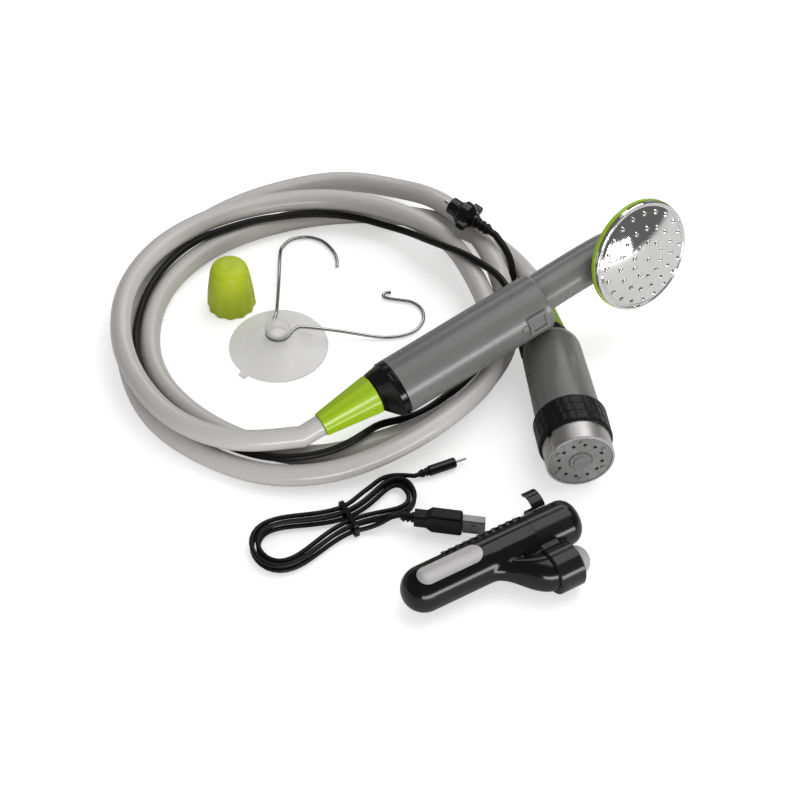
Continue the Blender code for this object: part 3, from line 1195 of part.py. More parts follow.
def make_connector():
    level = Vector((0.0, 0.0, 1.0)).cross(Vector(CONNECTOR_AIM))
    home = frame("connector_frame", kit_point(CONNECTOR_END), CONNECTOR_AIM, level)
    strain_relief("connector_strain_relief", home, GAP, RELIEF_LENGTH - GAP, RELIEF_RADIUS, RELIEF_WAIST, RELIEF_RIBS)
    low = RELIEF_LENGTH + GAP
    nose = CONNECTOR_NOSE_AT
    nose_end = nose + CONNECTOR_NOSE_LENGTH
    nut_low = CONNECTOR_NUT_START
    turned("connector_body", [
        (0.0, nose_end), (CONNECTOR_NOSE_RADIUS - 0.0005, nose_end), (CONNECTOR_NOSE_RADIUS, nose_end - 0.0005),
        (CONNECTOR_NOSE_RADIUS, nose), (CONNECTOR_CORE_RADIUS, nose), (CONNECTOR_CORE_RADIUS, low), (0.0, low),
    ], home, BLACK_PLASTIC, steps=SMALL_STEPS)
    disc("connector_pin", PIN_RADIUS, nose_end + GAP, nose_end + GAP + PIN_LENGTH, home, STEEL, steps=TINY_STEPS)
    hole = CONNECTOR_CORE_RADIUS + GAP
    nut_high = nut_low + CONNECTOR_NUT_LENGTH
    nut = turned("connector_nut", [
        (CONNECTOR_NUT_RADIUS - 0.0008, nut_high), (CONNECTOR_NUT_RADIUS, nut_high - 0.0008),
        (CONNECTOR_NUT_RADIUS, nut_low + 0.0035), (CONNECTOR_NUT_RADIUS - 0.0022, nut_low), (hole, nut_low),
        (hole, nut_high),
    ], home, BLACK_PLASTIC, steps=SMALL_STEPS)
    for side in (-1.0, 1.0):
        inner = CONNECTOR_CORE_RADIUS + 0.0016
        middle = side * (inner + CONNECTOR_WING_REACH) / 2.0
        wing = block(f"add_wing_{side:+.0f}", (CONNECTOR_WING_REACH - inner, CONNECTOR_WING_WIDTH,
                                               CONNECTOR_WING_LENGTH),
                     (middle, 0.0, nut_low + CONNECTOR_WING_LENGTH / 2.0), home, bevel=0.0008)
        unite(nut, wing)
    o_low = nut_high + GAP
    o_high = nose - GAP
    ring("connector_o_ring", hole + 0.0014, hole, o_low, o_high, home, BLACK_RUBBER, steps=SMALL_STEPS)
    return home


def hank_point(turns):
    """A point of the charging cable's hank after a number of turns from its waist, in its own frame."""
    angle = 2.0 * math.pi * (turns + 0.25)

    def base(a):
        right = 0.5 + 0.5 * math.cos(a)
        reach = HANK_LEFT_REACH + (HANK_RIGHT_REACH - HANK_LEFT_REACH) * right
        bulb = HANK_LEFT_BULB + (HANK_RIGHT_BULB - HANK_LEFT_BULB) * right
        along = reach * math.cos(a)
        across = math.sin(a) * (HANK_WAIST + bulb * math.cos(a) ** 2)
        return Vector((along, across, 0.0))

    here = base(angle)
    tangent = (base(angle + 0.001) - base(angle - 0.001)).normalized()
    outward = Vector((tangent.y, -tangent.x, 0.0))
    lane = abs(turns - HANK_TURNS / 2.0)
    point = here + outward * lane * HANK_STEP
    if point.x > 0.0:
        point.y += HANK_BEND * point.x ** 2
    middle = HANK_TURNS / 2.0
    climb = min(1.0, max(0.0, (turns - middle + HANK_CLIMB_FROM / 2.0) / HANK_CLIMB_FROM))
    climb = climb * climb * (3.0 - 2.0 * climb)
    point.z = HANK_LOW + HANK_STEP * (1.0 - climb)
    return point


def make_usb_cable():
    """One unbroken cable: from the round plug, through the hank's loops, to the flat plug."""
    home = frame("hank_frame", kit_point((*HANK_CENTRE, 0.0)), (0.0, 0.0, 1.0), heading(HANK_AZIMUTH))
    count = round(HANK_TURNS * HANK_POINTS_PER_LOOP)
    loops = [hank_point(HANK_TURNS * i / count) for i in range(count + 1)]
    usb = make_usb_plug()
    plug = make_dc_plug()
    bpy.context.view_layer.update()
    inward = home.matrix_world.inverted()
    dc_tail = plug_tail(inward, plug, DC_TAIL_ROUTE, loops[0])
    usb_tail = plug_tail(inward, usb, USB_TAIL_ROUTE, loops[-1])
    points = dc_tail[:-1] + loops + list(reversed(usb_tail))[1:]
    window = HANK_POINTS_PER_LOOP // 3
    least = min((a - b).length for i, a in enumerate(points) for b in points[i + window:])
    print("usb_cable least gap", round(least - 2.0 * USB_CABLE_RADIUS, 5))
    print("usb_cable length", round(sum((a - b).length for a, b in zip(points, points[1:])), 4))
    tube("usb_cable", points, USB_CABLE_RADIUS, home, BLACK_RUBBER, 1)
    make_tie(home)


def plug_tail(inward, plug, route, loop_end):
    """Points from a plug's sleeve, straight for one diameter, along the route to an end of the loops."""
    place = inward @ plug.matrix_world
    out = -place.to_3x3().col[2].normalized()
    sleeve = place.translation + GAP * out
    path, _ = smooth_path([sleeve + 2.0 * USB_CABLE_RADIUS * out, *[Vector(p) for p in route], loop_end],
                          USB_CABLE_STEP)
    return [sleeve] + path


DC_TAIL_ROUTE = (
    (0.0400, 0.0152, 0.0033), (0.0350, 0.0174, 0.0034), (0.0300, 0.0181, 0.0037), (0.0250, 0.0169, 0.0043),
    (0.0200, 0.0146, 0.0051), (0.0150, 0.0126, 0.0057), (0.0100, 0.0105, 0.0061), (0.0050, 0.0087, 0.0061),
)
USB_TAIL_ROUTE = (
    (0.0175, -0.0116, 0.0076), (0.0120, -0.0108, 0.0052), (0.0060, -0.0091, 0.0032),
)


def make_tie(home):
    """A thin strap round the waist of the hank."""
    half = HANK_WAIST + HANK_STEP * HANK_TURNS / 2.0 + USB_CABLE_RADIUS + 3.0 * GAP + TIE_RADIUS
    low = HANK_LOW - USB_CABLE_RADIUS - GAP - 2.0 * TIE_RADIUS
    high = HANK_LOW + HANK_STEP + USB_CABLE_RADIUS + GAP + 2.0 * TIE_RADIUS
    rows = []
    for x in (-TIE_WIDTH / 2.0, TIE_WIDTH / 2.0):
        rows.append([Vector((x, p.x, p.y + (low + high) / 2.0))
                     for p in rounded_rectangle(2.0 * (half + TIE_RADIUS), high - low, 0.0020, 0.0)])
    for x in (TIE_WIDTH / 2.0, -TIE_WIDTH / 2.0):
        rows.append([Vector((x, p.x, p.y + (low + high) / 2.0))
                     for p in rounded_rectangle(2.0 * (half - TIE_RADIUS), high - low - 4.0 * TIE_RADIUS, 0.0012, 0.0)])
    tie = loft("cable_tie", rows, home, BLACK_PLASTIC, closed=True)
    return tie


def make_usb_plug():
    roll = math.radians(USB_ROLL)
    height = (USB_BODY_WIDTH / 2.0 * math.cos(roll) + USB_BODY_THICKNESS / 2.0 * math.sin(roll)) + GAP
    axis = heading(USB_AZIMUTH)
    back = Vector((0.0, 0.0, 1.0)).cross(axis).normalized()
    broad = math.cos(roll) * Vector((0.0, 0.0, 1.0)) - math.sin(roll) * back
    home = frame("usb_frame", kit_point((*USB_START, height)), axis, broad)
    strain_relief("usb_strain_relief", home, 0.0, USB_RELIEF_LENGTH, USB_RELIEF_RADIUS, USB_RELIEF_WAIST,
                  USB_RELIEF_RIBS)
    low = USB_RELIEF_LENGTH + GAP
    tail = low + USB_TAIL_LENGTH
    high = low + USB_BODY_LENGTH
    rows = (
        (low, USB_TAIL_WIDTH, USB_TAIL_THICKNESS), (tail, USB_TAIL_WIDTH, USB_TAIL_THICKNESS),
        (tail + 0.003, USB_BODY_WIDTH, USB_BODY_THICKNESS), (high - 0.0008, USB_BODY_WIDTH, USB_BODY_THICKNESS),
        (high, USB_BODY_WIDTH - 0.0014, USB_BODY_THICKNESS - 0.0014),
    )
    loft("usb_plug_body", [rounded_rectangle(width, depth, USB_BODY_CORNER, z) for z, width, depth in rows],
         home, BLACK_RUBBER)
    shell_low = high + GAP
    shell_high = shell_low + USB_SHELL_LENGTH
    wall = USB_SHELL_WALL
    open_width = USB_SHELL_WIDTH - 2.0 * wall
    open_depth = USB_SHELL_THICKNESS - 2.0 * wall
    loft("usb_plug_shell", [
        rounded_rectangle(USB_SHELL_WIDTH, USB_SHELL_THICKNESS, 0.0006, shell_low),
        rounded_rectangle(USB_SHELL_WIDTH, USB_SHELL_THICKNESS, 0.0006, shell_high),
        rounded_rectangle(open_width, open_depth, 0.0003, shell_high),
        rounded_rectangle(open_width, open_depth, 0.0003, shell_low),
    ], home, STEEL, closed=True)
    tongue_depth = USB_TONGUE_THICKNESS
    block("usb_plug_tongue", (open_width - 2.0 * GAP, tongue_depth, USB_SHELL_LENGTH - 0.0012),
          (0.0, open_depth / 2.0 - GAP - tongue_depth / 2.0, shell_low + (USB_SHELL_LENGTH - 0.0012) / 2.0),
          home, WHITE_PLASTIC)
    return home


def make_dc_plug():
    home = frame("dc_plug_frame", kit_point((*DC_START, DC_HEIGHT)), heading(DC_AZIMUTH), (0.0, 0.0, 1.0))
    strain_relief("dc_strain_relief", home, 0.0, DC_RELIEF_LENGTH, DC_RELIEF_RADIUS, DC_RELIEF_RADIUS - 0.0005, 2)
    low = DC_RELIEF_LENGTH + GAP
    high = low + DC_BODY_LENGTH
    turned("dc_plug_body", [
        (0.0, high), (DC_BODY_RADIUS - 0.0004, high), (DC_BODY_RADIUS, high - 0.0004), (DC_BODY_RADIUS, low + 0.0004),
        (DC_BODY_RADIUS - 0.0004, low), (0.0, low),
    ], home, BLACK_PLASTIC, steps=TINY_STEPS)
    disc("dc_plug_pin", DC_PIN_RADIUS, high + GAP, high + GAP + DC_PIN_LENGTH, home, STEEL, steps=8)
    return home


def make_cords(inlet, pump, connector):
    """The water hose and the pump's power cord along their laid-out routes."""
    bpy.context.view_layer.update()
    nut_far = -COLLAR_LENGTH - GAP - NUT_LENGTH
    start = inlet.matrix_world @ Vector((0.0, 0.0, nut_far - GAP))
    start_out = -inlet.matrix_world.to_3x3().col[2].normalized()
    cap_top = HOUSING_LENGTH + GAP + TOP_CAP_LENGTH
    end = pump.matrix_world @ Vector((0.0, 0.0, cap_top + 2.0 * GAP + NUT_LENGTH))
    end_out = pump.matrix_world.to_3x3().col[2].normalized()
    cord("shower_hose", start, start_out, [kit_point(p) for p in HOSE_ROUTE], end_out, end, HOSE_RADIUS,
         HOSE_STEP, 2)
    gland = pump.matrix_world @ Vector((-GLAND_OFFSET, 0.0, GLAND_TIP_AT + GAP))
    relief = connector.matrix_world.translation
    relief_out = -connector.matrix_world.to_3x3().col[2].normalized()
    cord("power_cord", gland, end_out, [kit_point(p) for p in CORD_ROUTE], relief_out, relief, CORD_RADIUS,
         CORD_STEP, 2)


CORD_FINISH = {"shower_hose": HOSE_GREY, "power_cord": BLACK_RUBBER}

clear_scene()
PARTS = collection("portable_shower")
CUTTERS = collection("cutters")
handset_frame, handset_inlet = make_handset()
pump_frame = make_pump()
make_pack()
make_hanger()
make_spare_cap()
connector_frame = make_connector()
bpy.context.view_layer.update()
make_usb_cable()
make_cords(handset_inlet, pump_frame, connector_frame)
bpy.context.view_layer.update()
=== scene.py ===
"""Portable camping shower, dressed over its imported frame: finer pieces, materials, light and camera."""

import json
import math

import bmesh
import bpy
from mathutils import Matrix, Vector

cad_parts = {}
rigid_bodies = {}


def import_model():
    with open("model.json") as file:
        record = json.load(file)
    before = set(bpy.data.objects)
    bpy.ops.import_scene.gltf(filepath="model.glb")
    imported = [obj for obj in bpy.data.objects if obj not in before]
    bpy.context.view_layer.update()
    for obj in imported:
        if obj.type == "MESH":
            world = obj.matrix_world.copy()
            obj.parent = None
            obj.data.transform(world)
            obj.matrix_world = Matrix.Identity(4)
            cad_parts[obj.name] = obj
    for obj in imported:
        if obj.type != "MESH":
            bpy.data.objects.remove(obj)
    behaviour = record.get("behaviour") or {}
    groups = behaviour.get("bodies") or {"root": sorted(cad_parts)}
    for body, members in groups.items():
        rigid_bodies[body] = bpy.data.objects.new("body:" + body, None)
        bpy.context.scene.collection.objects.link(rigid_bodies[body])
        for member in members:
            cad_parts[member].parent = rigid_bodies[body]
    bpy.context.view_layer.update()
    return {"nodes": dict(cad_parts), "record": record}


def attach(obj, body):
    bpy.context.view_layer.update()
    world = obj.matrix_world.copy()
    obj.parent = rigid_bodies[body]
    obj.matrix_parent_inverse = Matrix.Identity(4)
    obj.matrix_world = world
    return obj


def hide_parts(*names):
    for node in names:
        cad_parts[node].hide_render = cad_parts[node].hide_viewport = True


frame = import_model()

# Shared clearances, mesh fineness, edges and the camera; lengths in metres, angles in degrees
GAP = 0.0003
ROUND_STEPS = 96
SMALL_STEPS = 60
TINY_STEPS = 40
FLUTE_POINTS = 12
SOFT_EDGE = 0.00018
SOFT_EDGE_FROM = 40.0
SHARP_FROM = 50.0
KIT_CENTRE_X = 0.02417
KIT_CENTRE_Y = -0.01161
CAMERA_RISE = 48.0
CAMERA_DISTANCE = 1.25

# Handset: local Z runs from the collar seam to the head, local X points to the sprayed side
HANDSET_SEAM = (-0.0025, -0.0187, 0.0315)
HANDSET_AZIMUTH = 32.0
HANDSET_RISE = 10.1
HANDSET_ROLL = 15.94
BARREL_RADIUS = 0.0165
BARREL_LENGTH = 0.0955
BARREL_WALL = 0.002
BARREL_END_WALL = 0.004
BARREL_EDGE = 0.0012
INLET_OFFSET = 0.005
COLLAR_LENGTH = 0.0115
COLLAR_BAND = 0.0045
COLLAR_BORE = 0.0052
COLLAR_SLOT_WIDTH = 0.0014
COLLAR_SLOT_LENGTH = 0.0045
COLLAR_SLOT_DEPTH = 0.0012
COLLAR_SLOTS = 4
LUG_POSITION = 0.0848
LUG_WIDTH = 0.011
LUG_LENGTH = 0.0125
LUG_HEIGHT = 0.0012
LUG_FRAME = 0.0018
LUG_RECESS_DEPTH = 0.0009
SCREW_POSITION = 0.0768
SCREW_RADIUS = 0.0019
SCREW_LENGTH = 0.0012
SCREW_SLOT = 0.0006
WATER_TUBE_RADIUS = 0.0045
WATER_TUBE_BORE = 0.0033
WATER_TUBE_INSERT = 0.006

# Hose fittings, alike on the handset and the pump
NUT_LENGTH = 0.034
NUT_LARGE_RADIUS = 0.0115
NUT_SMALL_RADIUS = 0.0068
NUT_WALL = 0.0016
NUT_FLUTES = 9
NUT_FLUTE_DEPTH = 0.0005
BARB_SHANK_RADIUS = 0.0044
BARB_RIB_RADIUS = 0.0051

# Spray head: local Z of the face frame points out of the spray plate
FACE_FORWARD = 0.014
FACE_ALONG = 0.1566
FACE_TILT = 7.2
RIM_RADIUS = 0.032
RIM_THICKNESS = 0.002
RIM_LIP = 0.0022
PLATE_WALL = 0.0014
PLATE_RISE = 0.006
TRIM_RADIUS = 0.0324
TRIM_THICKNESS = 0.003
TRIM_INNER = 0.0286
NOZZLE_RINGS = ((0.0100, 10), (0.0183, 15), (0.0264, 20))
NOZZLE_BASE_RADIUS = 0.0015
NOZZLE_TIP_RADIUS = 0.0009
NOZZLE_HEIGHT = 0.0009
NOZZLE_SIDES = 20
CHAMBER_RADIUS = 0.0185
CHAMBER_DEPTH = 0.005
BOWL_DEPTH = 0.017
BOWL_RIM_RADIUS = 0.0300
NECK_RADIUS = 0.0115
HEAD_RISE_BORE = 0.0026

# Pump: local Z runs from the intake face to the hose nut
PUMP_FACE = (0.0968, -0.0639, 0.0220)
PUMP_AZIMUTH = 98.0
PUMP_DROP = 2.5
INTAKE_COLLAR_RADIUS = 0.01885
INTAKE_COLLAR_WALL = 0.0013
INTAKE_COLLAR_LENGTH = 0.012
INTAKE_SHELF = 0.0013
INTAKE_NOTCH_WIDTH = 0.0034
INTAKE_NOTCH_DEPTH = 0.0011
INTAKE_NOTCH_ANGLE = 216.0
PLATE_RECESS = 0.0003
PLATE_THICKNESS = 0.0016
INTAKE_HOLE_RADIUS = 0.0011
INTAKE_HOLE_CIRCLE = 0.0120
INTAKE_HOLES = 12
STUD_CIRCLE = 0.0142
STUD_RADIUS = 0.0014
STUD_HEIGHT = 0.0005
STUDS = 6
STUD_TURN = -0.02
FOOT_RING_BAND = 0.0011
FOOT_RING_THICKNESS = 0.001
LENS_RADIUS = 0.0062
LENS_FLANGE = 0.0018
LENS_CROWN = 0.0012
GRIP_RADIUS = 0.0205
GRIP_LENGTH = 0.0188
GRIP_LIP = 0.0017
GRIP_RIBS = 14
GRIP_BANDS = 3
GRIP_GROOVE = 0.0004
GRIP_END = 0.0014
KNURL_DEPTH = 0.0002
HOUSING_LARGE_RADIUS = 0.0186
HOUSING_SHOULDER_RADIUS = 0.0169
HOUSING_NECK_RADIUS = 0.0117
HOUSING_SHOULDER_AT = 0.082
HOUSING_LENGTH = 0.091
HOUSING_WALL = 0.0021
HOUSING_END_WALL = 0.003
TOP_CAP_LENGTH = 0.0072
TOP_CAP_RADIUS = 0.0117
TOP_CAP_NOTCHES = 4
TOP_CAP_NOTCH_WIDTH = 0.004
TOP_CAP_NOTCH_DEPTH = 0.0012
GLAND_OFFSET = 0.0147
GLAND_ROOT_RADIUS = 0.0028
GLAND_TIP_RADIUS = 0.0025
GLAND_TIP_AT = 0.1008
CHAMBER_PLATE_AT = 0.036
CHAMBER_PLATE_THICKNESS = 0.003

# Battery pack: local Z runs along the cell, local X is up, local Y points to the switch barrel
PACK_END_CENTRE = (0.0124, -0.1420)
PACK_AZIMUTH = 30.4
PACK_RADIUS = 0.0125
PACK_LENGTH = 0.093
PACK_SEAM_AT = 0.064
PACK_END_EDGE = 0.0078
CELL_RADIUS = 0.0091
CELL_START = -0.005
SWITCH_OFFSET = 0.0245
SWITCH_COLLAR_RADIUS = 0.0124
SWITCH_COLLAR_END = 0.0765
SWITCH_COLLAR_EDGE = 0.0008
SWITCH_COLLAR_BACK = 0.003
WEB_HALF_HEIGHT = 0.0062
WEB_END = 0.074
BUTTON_RADIUS = 0.0082
BUTTON_HEIGHT = 0.0082
BUTTON_TRAVEL = 0.0015
BUTTON_SKIRT = 0.0045
SWITCH_HEIGHT = 0.002
RIB_COUNT = 11
RIB_FIRST = 0.0183
RIB_PITCH = 0.0044
RIB_WIDTH = 0.0015
RIB_HEIGHT = 0.0006
RIB_SPAN = 0.009
RIB_ANGLE = 143.0
LABEL_START = -0.0045
LABEL_LENGTH = 0.038
LABEL_WIDTH = 0.0108
LABEL_THICKNESS = 0.0004
LABEL_TURN = 6.0
LABEL_MARGIN = 0.004
CLIP_AT = 0.077
CLIP_WIDTH = 0.0074
CLIP_THICKNESS = 0.0018
CLIP_RADIUS = 0.0068
CLIP_TOOTH = 0.003
SOCKET_RADIUS = 0.0062
SOCKET_BORE = 0.0019
SOCKET_DEPTH = 0.009
SOCKET_FLOOR = 0.0015
SOCKET_PIN_HOLE = 0.0012

# Hanger and loose cap
CUP_CENTRE = (-0.0697, 0.0418)
CUP_RADIUS = 0.0285
CUP_WALL = 0.0016
CUP_HEIGHT = 0.0086
KNOB_RADIUS = 0.0074
KNOB_TOP = 0.0162
KNOB_WAIST = 0.0046
WIRE_RADIUS = 0.001
WIRE_HEIGHT = 0.0111
SHORT_HOOK = ((0.0323, 0.0636), (0.0321, 0.0695), (0.0297, 0.0766), (0.0230, 0.0852), (0.0139, 0.0887),
              (0.0049, 0.0869), (-0.0003, 0.0809), (-0.0018, 0.0748))
LONG_HOOK = ((0.0668, 0.0060), (0.0768, 0.0096), (0.0820, 0.0160), (0.0835, 0.0228), (0.0815, 0.0296),
             (0.0762, 0.0342), (0.0695, 0.0358), (0.0625, 0.0372), (0.0598, 0.0392), (0.0612, 0.0418),
             (0.0645, 0.0420))
CUP_TAB_ANGLE = 230.0
CUP_TAB_LENGTH = 0.0042
CUP_TAB_WIDTH = 0.0052
CAP_CENTRE = (-0.0985, 0.0765)
CAP_HEIGHT = 0.0315
CAP_FOOT_RADIUS = 0.0142
CAP_TOP_RADIUS = 0.0104
CAP_WALL = 0.0016
CAP_FLUTES = 12
CAP_FLUTE_DEPTH = 0.00045

# Round power connector: local Z runs from the cord to the pin
CONNECTOR_END = (0.0525, 0.1055, 0.0302)
CONNECTOR_AIM = (-0.792, 0.589, 0.19)
RELIEF_LENGTH = 0.0095
RELIEF_RADIUS = 0.0034
RELIEF_WAIST = 0.0028
RELIEF_RIBS = 3
CONNECTOR_CORE_RADIUS = 0.0042
CONNECTOR_NOSE_RADIUS = 0.0052
CONNECTOR_NOSE_AT = 0.0228
CONNECTOR_NOSE_LENGTH = 0.006
CONNECTOR_NUT_RADIUS = 0.0078
CONNECTOR_NUT_START = 0.0122
CONNECTOR_NUT_LENGTH = 0.0088
CONNECTOR_WING_WIDTH = 0.0045
CONNECTOR_WING_REACH = 0.0102
CONNECTOR_WING_LENGTH = 0.006
PIN_RADIUS = 0.0012
PIN_LENGTH = 0.0038

HOSE_RADIUS = 0.006
HOSE_STEP = 0.004
CORD_RADIUS = 0.0021
CORD_STEP = 0.002
USB_CABLE_RADIUS = 0.0013
USB_CABLE_STEP = 0.0015
HOSE_ROUTE = (
    (-90, -47, 19), (-124, -31, 19), (-147, -1, 19.5), (-158.5, 34.5, 19), (-157, 72, 19),
    (-140, 105.5, 19), (-111, 129, 19), (-75.5, 142, 19), (-38, 144.5, 19.5), (-2, 134, 19),
    (27.5, 111.5, 19), (43.5, 78.5, 19), (52.5, 42, 21.5), (52.5, 6.5, 19), (30, -24, 17.5), (0, -47, 14.5),
    (-35.5, -60.5, 9.2), (-73.5, -60.5, 6.7), (-108.5, -45, 6.5), (-136.5, -20.5, 6.5), (-152, 13.5, 6.5),
    (-158, 51, 6.5), (-151.5, 88, 6.5), (-133.5, 121, 6.5), (-107, 147.5, 6.5), (-74, 165.5, 6.5),
    (-37, 175, 6.5), (-2, 165.5, 9), (25.5, 142, 19.5), (47.5, 111, 19), (58.5, 76, 19.5), (62.5, 39.5, 9),
    (47, 7, 6.5), (21, -20, 6.5), (-12, -37, 6.5), (-48.5, -47.6, 6.5), (-85, -36.5, 6.5),
    (-116, -15.5, 6.5), (-138, 15, 6.5), (-144, 52, 6.5), (-135, 88, 6.5), (-111, 117, 6.5),
    (-78, 135.5, 6.5), (-41.5, 145, 6.5), (-4, 145, 6.5), (32.5, 135.5, 6.7), (61.5, 112.5, 7.2),
)
CORD_ROUTE = (
    (65, 53, 23), (59, 67, 28), (49.5, 79.5, 27), (37, 89.5, 27.5), (25.5, 100, 23.5), (15, 111, 18.5),
    (4, 122, 14), (-10, 130, 12), (-25, 136, 12), (-40.5, 138.5, 12.5), (-56.5, 137.5, 13.9),
    (-72, 134.5, 14.5), (-87.5, 130.5, 15), (-102.5, 124, 15), (-116.5, 117, 14.4), (-129, 107, 13),
    (-137.5, 93.5, 13.5), (-144, 79, 13.8), (-148.5, 63.5, 13), (-150.5, 47.5, 12), (-150, 31.5, 12.8),
    (-146.5, 16, 12.8), (-140.5, 1, 12), (-132, -12.5, 12), (-121.5, -24.5, 12), (-109.5, -35, 11.5),
    (-95.5, -42.5, 10.5), (-80, -49, 10.3), (-65, -54.2, 13.2), (-49, -53.5, 14.3), (-33.5, -48.8, 15),
    (-20, -40, 16.5), (-11, -27.5, 10.8), (3.5, -20, 7), (15, -10, 3), (26.5, 1.5, 2.7), (38.5, 12, 2.7),
    (48.5, 24.5, 2.7), (55.5, 39, 2.7), (62.5, 53.5, 2.7), (68.5, 68.5, 2.7), (66, 80.5, 10.5),
    (64.5, 91.5, 22),
)

# Charging cable hank, its tie and its two plugs
HANK_CENTRE = (-0.0272, -0.0893)
HANK_AZIMUTH = 26.1
HANK_TURNS = 3.5
HANK_POINTS_PER_LOOP = 72
HANK_STEP = 0.0034
HANK_LOW = 0.0027
HANK_WAIST = 0.0017
HANK_LEFT_REACH = 0.050
HANK_RIGHT_REACH = 0.036
HANK_LEFT_BULB = 0.026
HANK_RIGHT_BULB = 0.0165
HANK_CLIMB_FROM = 0.5
HANK_BEND = 3.0
TIE_RADIUS = 0.0005
TIE_WIDTH = 0.0026
USB_START = (0.0005, -0.0905)
USB_AZIMUTH = -9.0
USB_ROLL = 7.0
USB_RELIEF_LENGTH = 0.007
USB_RELIEF_RADIUS = 0.0029
USB_RELIEF_WAIST = 0.0022
USB_RELIEF_RIBS = 3
USB_BODY_LENGTH = 0.0257
USB_BODY_WIDTH = 0.0154
USB_BODY_THICKNESS = 0.0074
USB_TAIL_WIDTH = 0.0095
USB_TAIL_THICKNESS = 0.0068
USB_TAIL_LENGTH = 0.0065
USB_BODY_CORNER = 0.0014
USB_SHELL_LENGTH = 0.0118
USB_SHELL_WIDTH = 0.012
USB_SHELL_THICKNESS = 0.0045
USB_SHELL_WALL = 0.0004
WINDOW_SIZE = 0.0022
WINDOW_OFFSET = 0.0028
WINDOW_AT = 0.0062
DC_START = (0.0105, -0.0573)
DC_AZIMUTH = 23.8
DC_HEIGHT = 0.0032
DC_RELIEF_LENGTH = 0.0052
DC_RELIEF_RADIUS = 0.0023
DC_BODY_LENGTH = 0.016
DC_BODY_RADIUS = 0.0029
DC_PIN_LENGTH = 0.0062
DC_PIN_RADIUS = 0.00065
DC_TAIL_ROUTE = (
    (0.0400, 0.0152, 0.0033), (0.0350, 0.0174, 0.0034), (0.0300, 0.0181, 0.0037), (0.0250, 0.0169, 0.0043),
    (0.0200, 0.0146, 0.0051), (0.0150, 0.0126, 0.0057), (0.0100, 0.0105, 0.0061), (0.0050, 0.0087, 0.0061),
)
USB_TAIL_ROUTE = (
    (0.0175, -0.0116, 0.0076), (0.0120, -0.0108, 0.0052), (0.0060, -0.0091, 0.0032),
)

# The record's material slot of each finish
GREY_PLASTIC = "grey_plastic"
BLACK_PLASTIC = "black_plastic"
BLACK_RUBBER = "black_rubber"
GREEN_PLASTIC = "green_plastic"
CAP_GREEN = "cap_green"
CHROME = "chrome"
STEEL = "steel"
HOSE_GREY = "hose_grey"
CLEAR_PLASTIC = "clear_plastic"
BUTTON_GREY = "button_grey"
LABEL_SILVER = "label_silver"
WHITE_PLASTIC = "white_plastic"
CELL_BLUE = "cell_blue"
BOARD_GREEN = "board_green"

# Pieces inside, whose solids stay in the frame and are only given their finish
INSIDE = {
    "handset_hose_barb": BLACK_PLASTIC, "handset_water_tube": WHITE_PLASTIC, "head_gasket": BLACK_RUBBER,
    "flow_diffuser": WHITE_PLASTIC, "pump_outlet_barb": BLACK_PLASTIC, "pump_chamber_plate": WHITE_PLASTIC,
    "motor_can": STEEL, "shaft_seal": BLACK_RUBBER, "impeller": WHITE_PLASTIC,
    "strainer_o_ring": BLACK_RUBBER, "battery_cell": CELL_BLUE, "control_board": BOARD_GREEN,
    "button_switch": STEEL, "connector_o_ring": BLACK_RUBBER, "usb_plug_tongue": WHITE_PLASTIC,
}
# Looks that differ from the finish of their slot; the barrel screw's darker steel is painted shade of the
# pocket it sits in
# The centre lens and the clear foot ring get darker grey copies of the clear plastic: painted shade of the
# hollow seen through them
OTHER_FINISH = {"strainer_collar": "satin_chrome", "usb_plug_shell": "satin_steel_and_recess_shade",
                "barrel_screw": "satin_steel_and_recess_shade", "centre_lens": "lens_painted_shade_clear", "clear_foot_ring": "stud_painted_shade_clear"}
# Pieces that stay curves
CORDS = ("shower_hose", "power_cord", "usb_cable")
# Pieces that stand for no node of their own, and the body that each rides on
# The nozzle bore discs are black painted shade inside the nozzle holes.
EXTRA_BODY = {"spray_nozzles": "kit", "spray_nozzle_bores": "kit"}


def collection(name):
    made = bpy.data.collections.new(name)
    bpy.context.scene.collection.children.link(made)
    return made


def add_build(name, build, home, finish=None):
    """Turn a finished bmesh into an object."""
    mesh = bpy.data.meshes.new(name)
    build.to_mesh(mesh)
    build.free()
    return add_object(name, mesh, home, finish)


def add_object(name, data, home=None, finish=None):
    """A piece where it has a finish; without one it only cuts or adds to another piece."""
    made = bpy.data.objects.new(name, data)
    (PARTS if finish else CUTTERS).objects.link(made)
    made.parent = home
    made["node"] = name
    if finish:
        made["finish"] = finish
    return made


def empty(name, home=None, place=(0.0, 0.0, 0.0)):
    made = bpy.data.objects.new(name, None)
    PARTS.objects.link(made)
    made.parent = home
    made.location = place
    return made


def placed(x_axis, y_axis, z_axis, origin):
    """The matrix of a frame with these axes and origin."""
    turn = Matrix((x_axis, y_axis, z_axis)).transposed().to_4x4()
    return Matrix.Translation(Vector(origin)) @ turn


def around(count, shift=0.0):
    """Angles of count even steps round a circle, turned by a share of a step."""
    return [2.0 * math.pi * (i + shift) / count for i in range(count)]


def polar(radius, angle, height=0.0):
    return Vector((radius * math.cos(angle), radius * math.sin(angle), height))


def axes(name, origin, z_axis, x_hint):
    """An empty whose Z and X follow the given directions, carrying the pieces built along it."""
    z_axis = Vector(z_axis).normalized()
    x_axis = Vector(x_hint)
    x_axis = (x_axis - x_axis.dot(z_axis) * z_axis).normalized()
    made = empty(name)
    made.matrix_world = placed(x_axis, z_axis.cross(x_axis), z_axis, origin)
    return made


def kit_point(point):
    """A point of the laid-out kit moved to the part's own origin."""
    return Vector((point[0] - KIT_CENTRE_X, point[1] - KIT_CENTRE_Y, point[2]))


def heading(azimuth, rise=0.0):
    turn = math.radians(azimuth)
    above = math.radians(rise)
    return Vector((math.cos(turn) * math.cos(above), math.sin(turn) * math.cos(above), math.sin(above)))


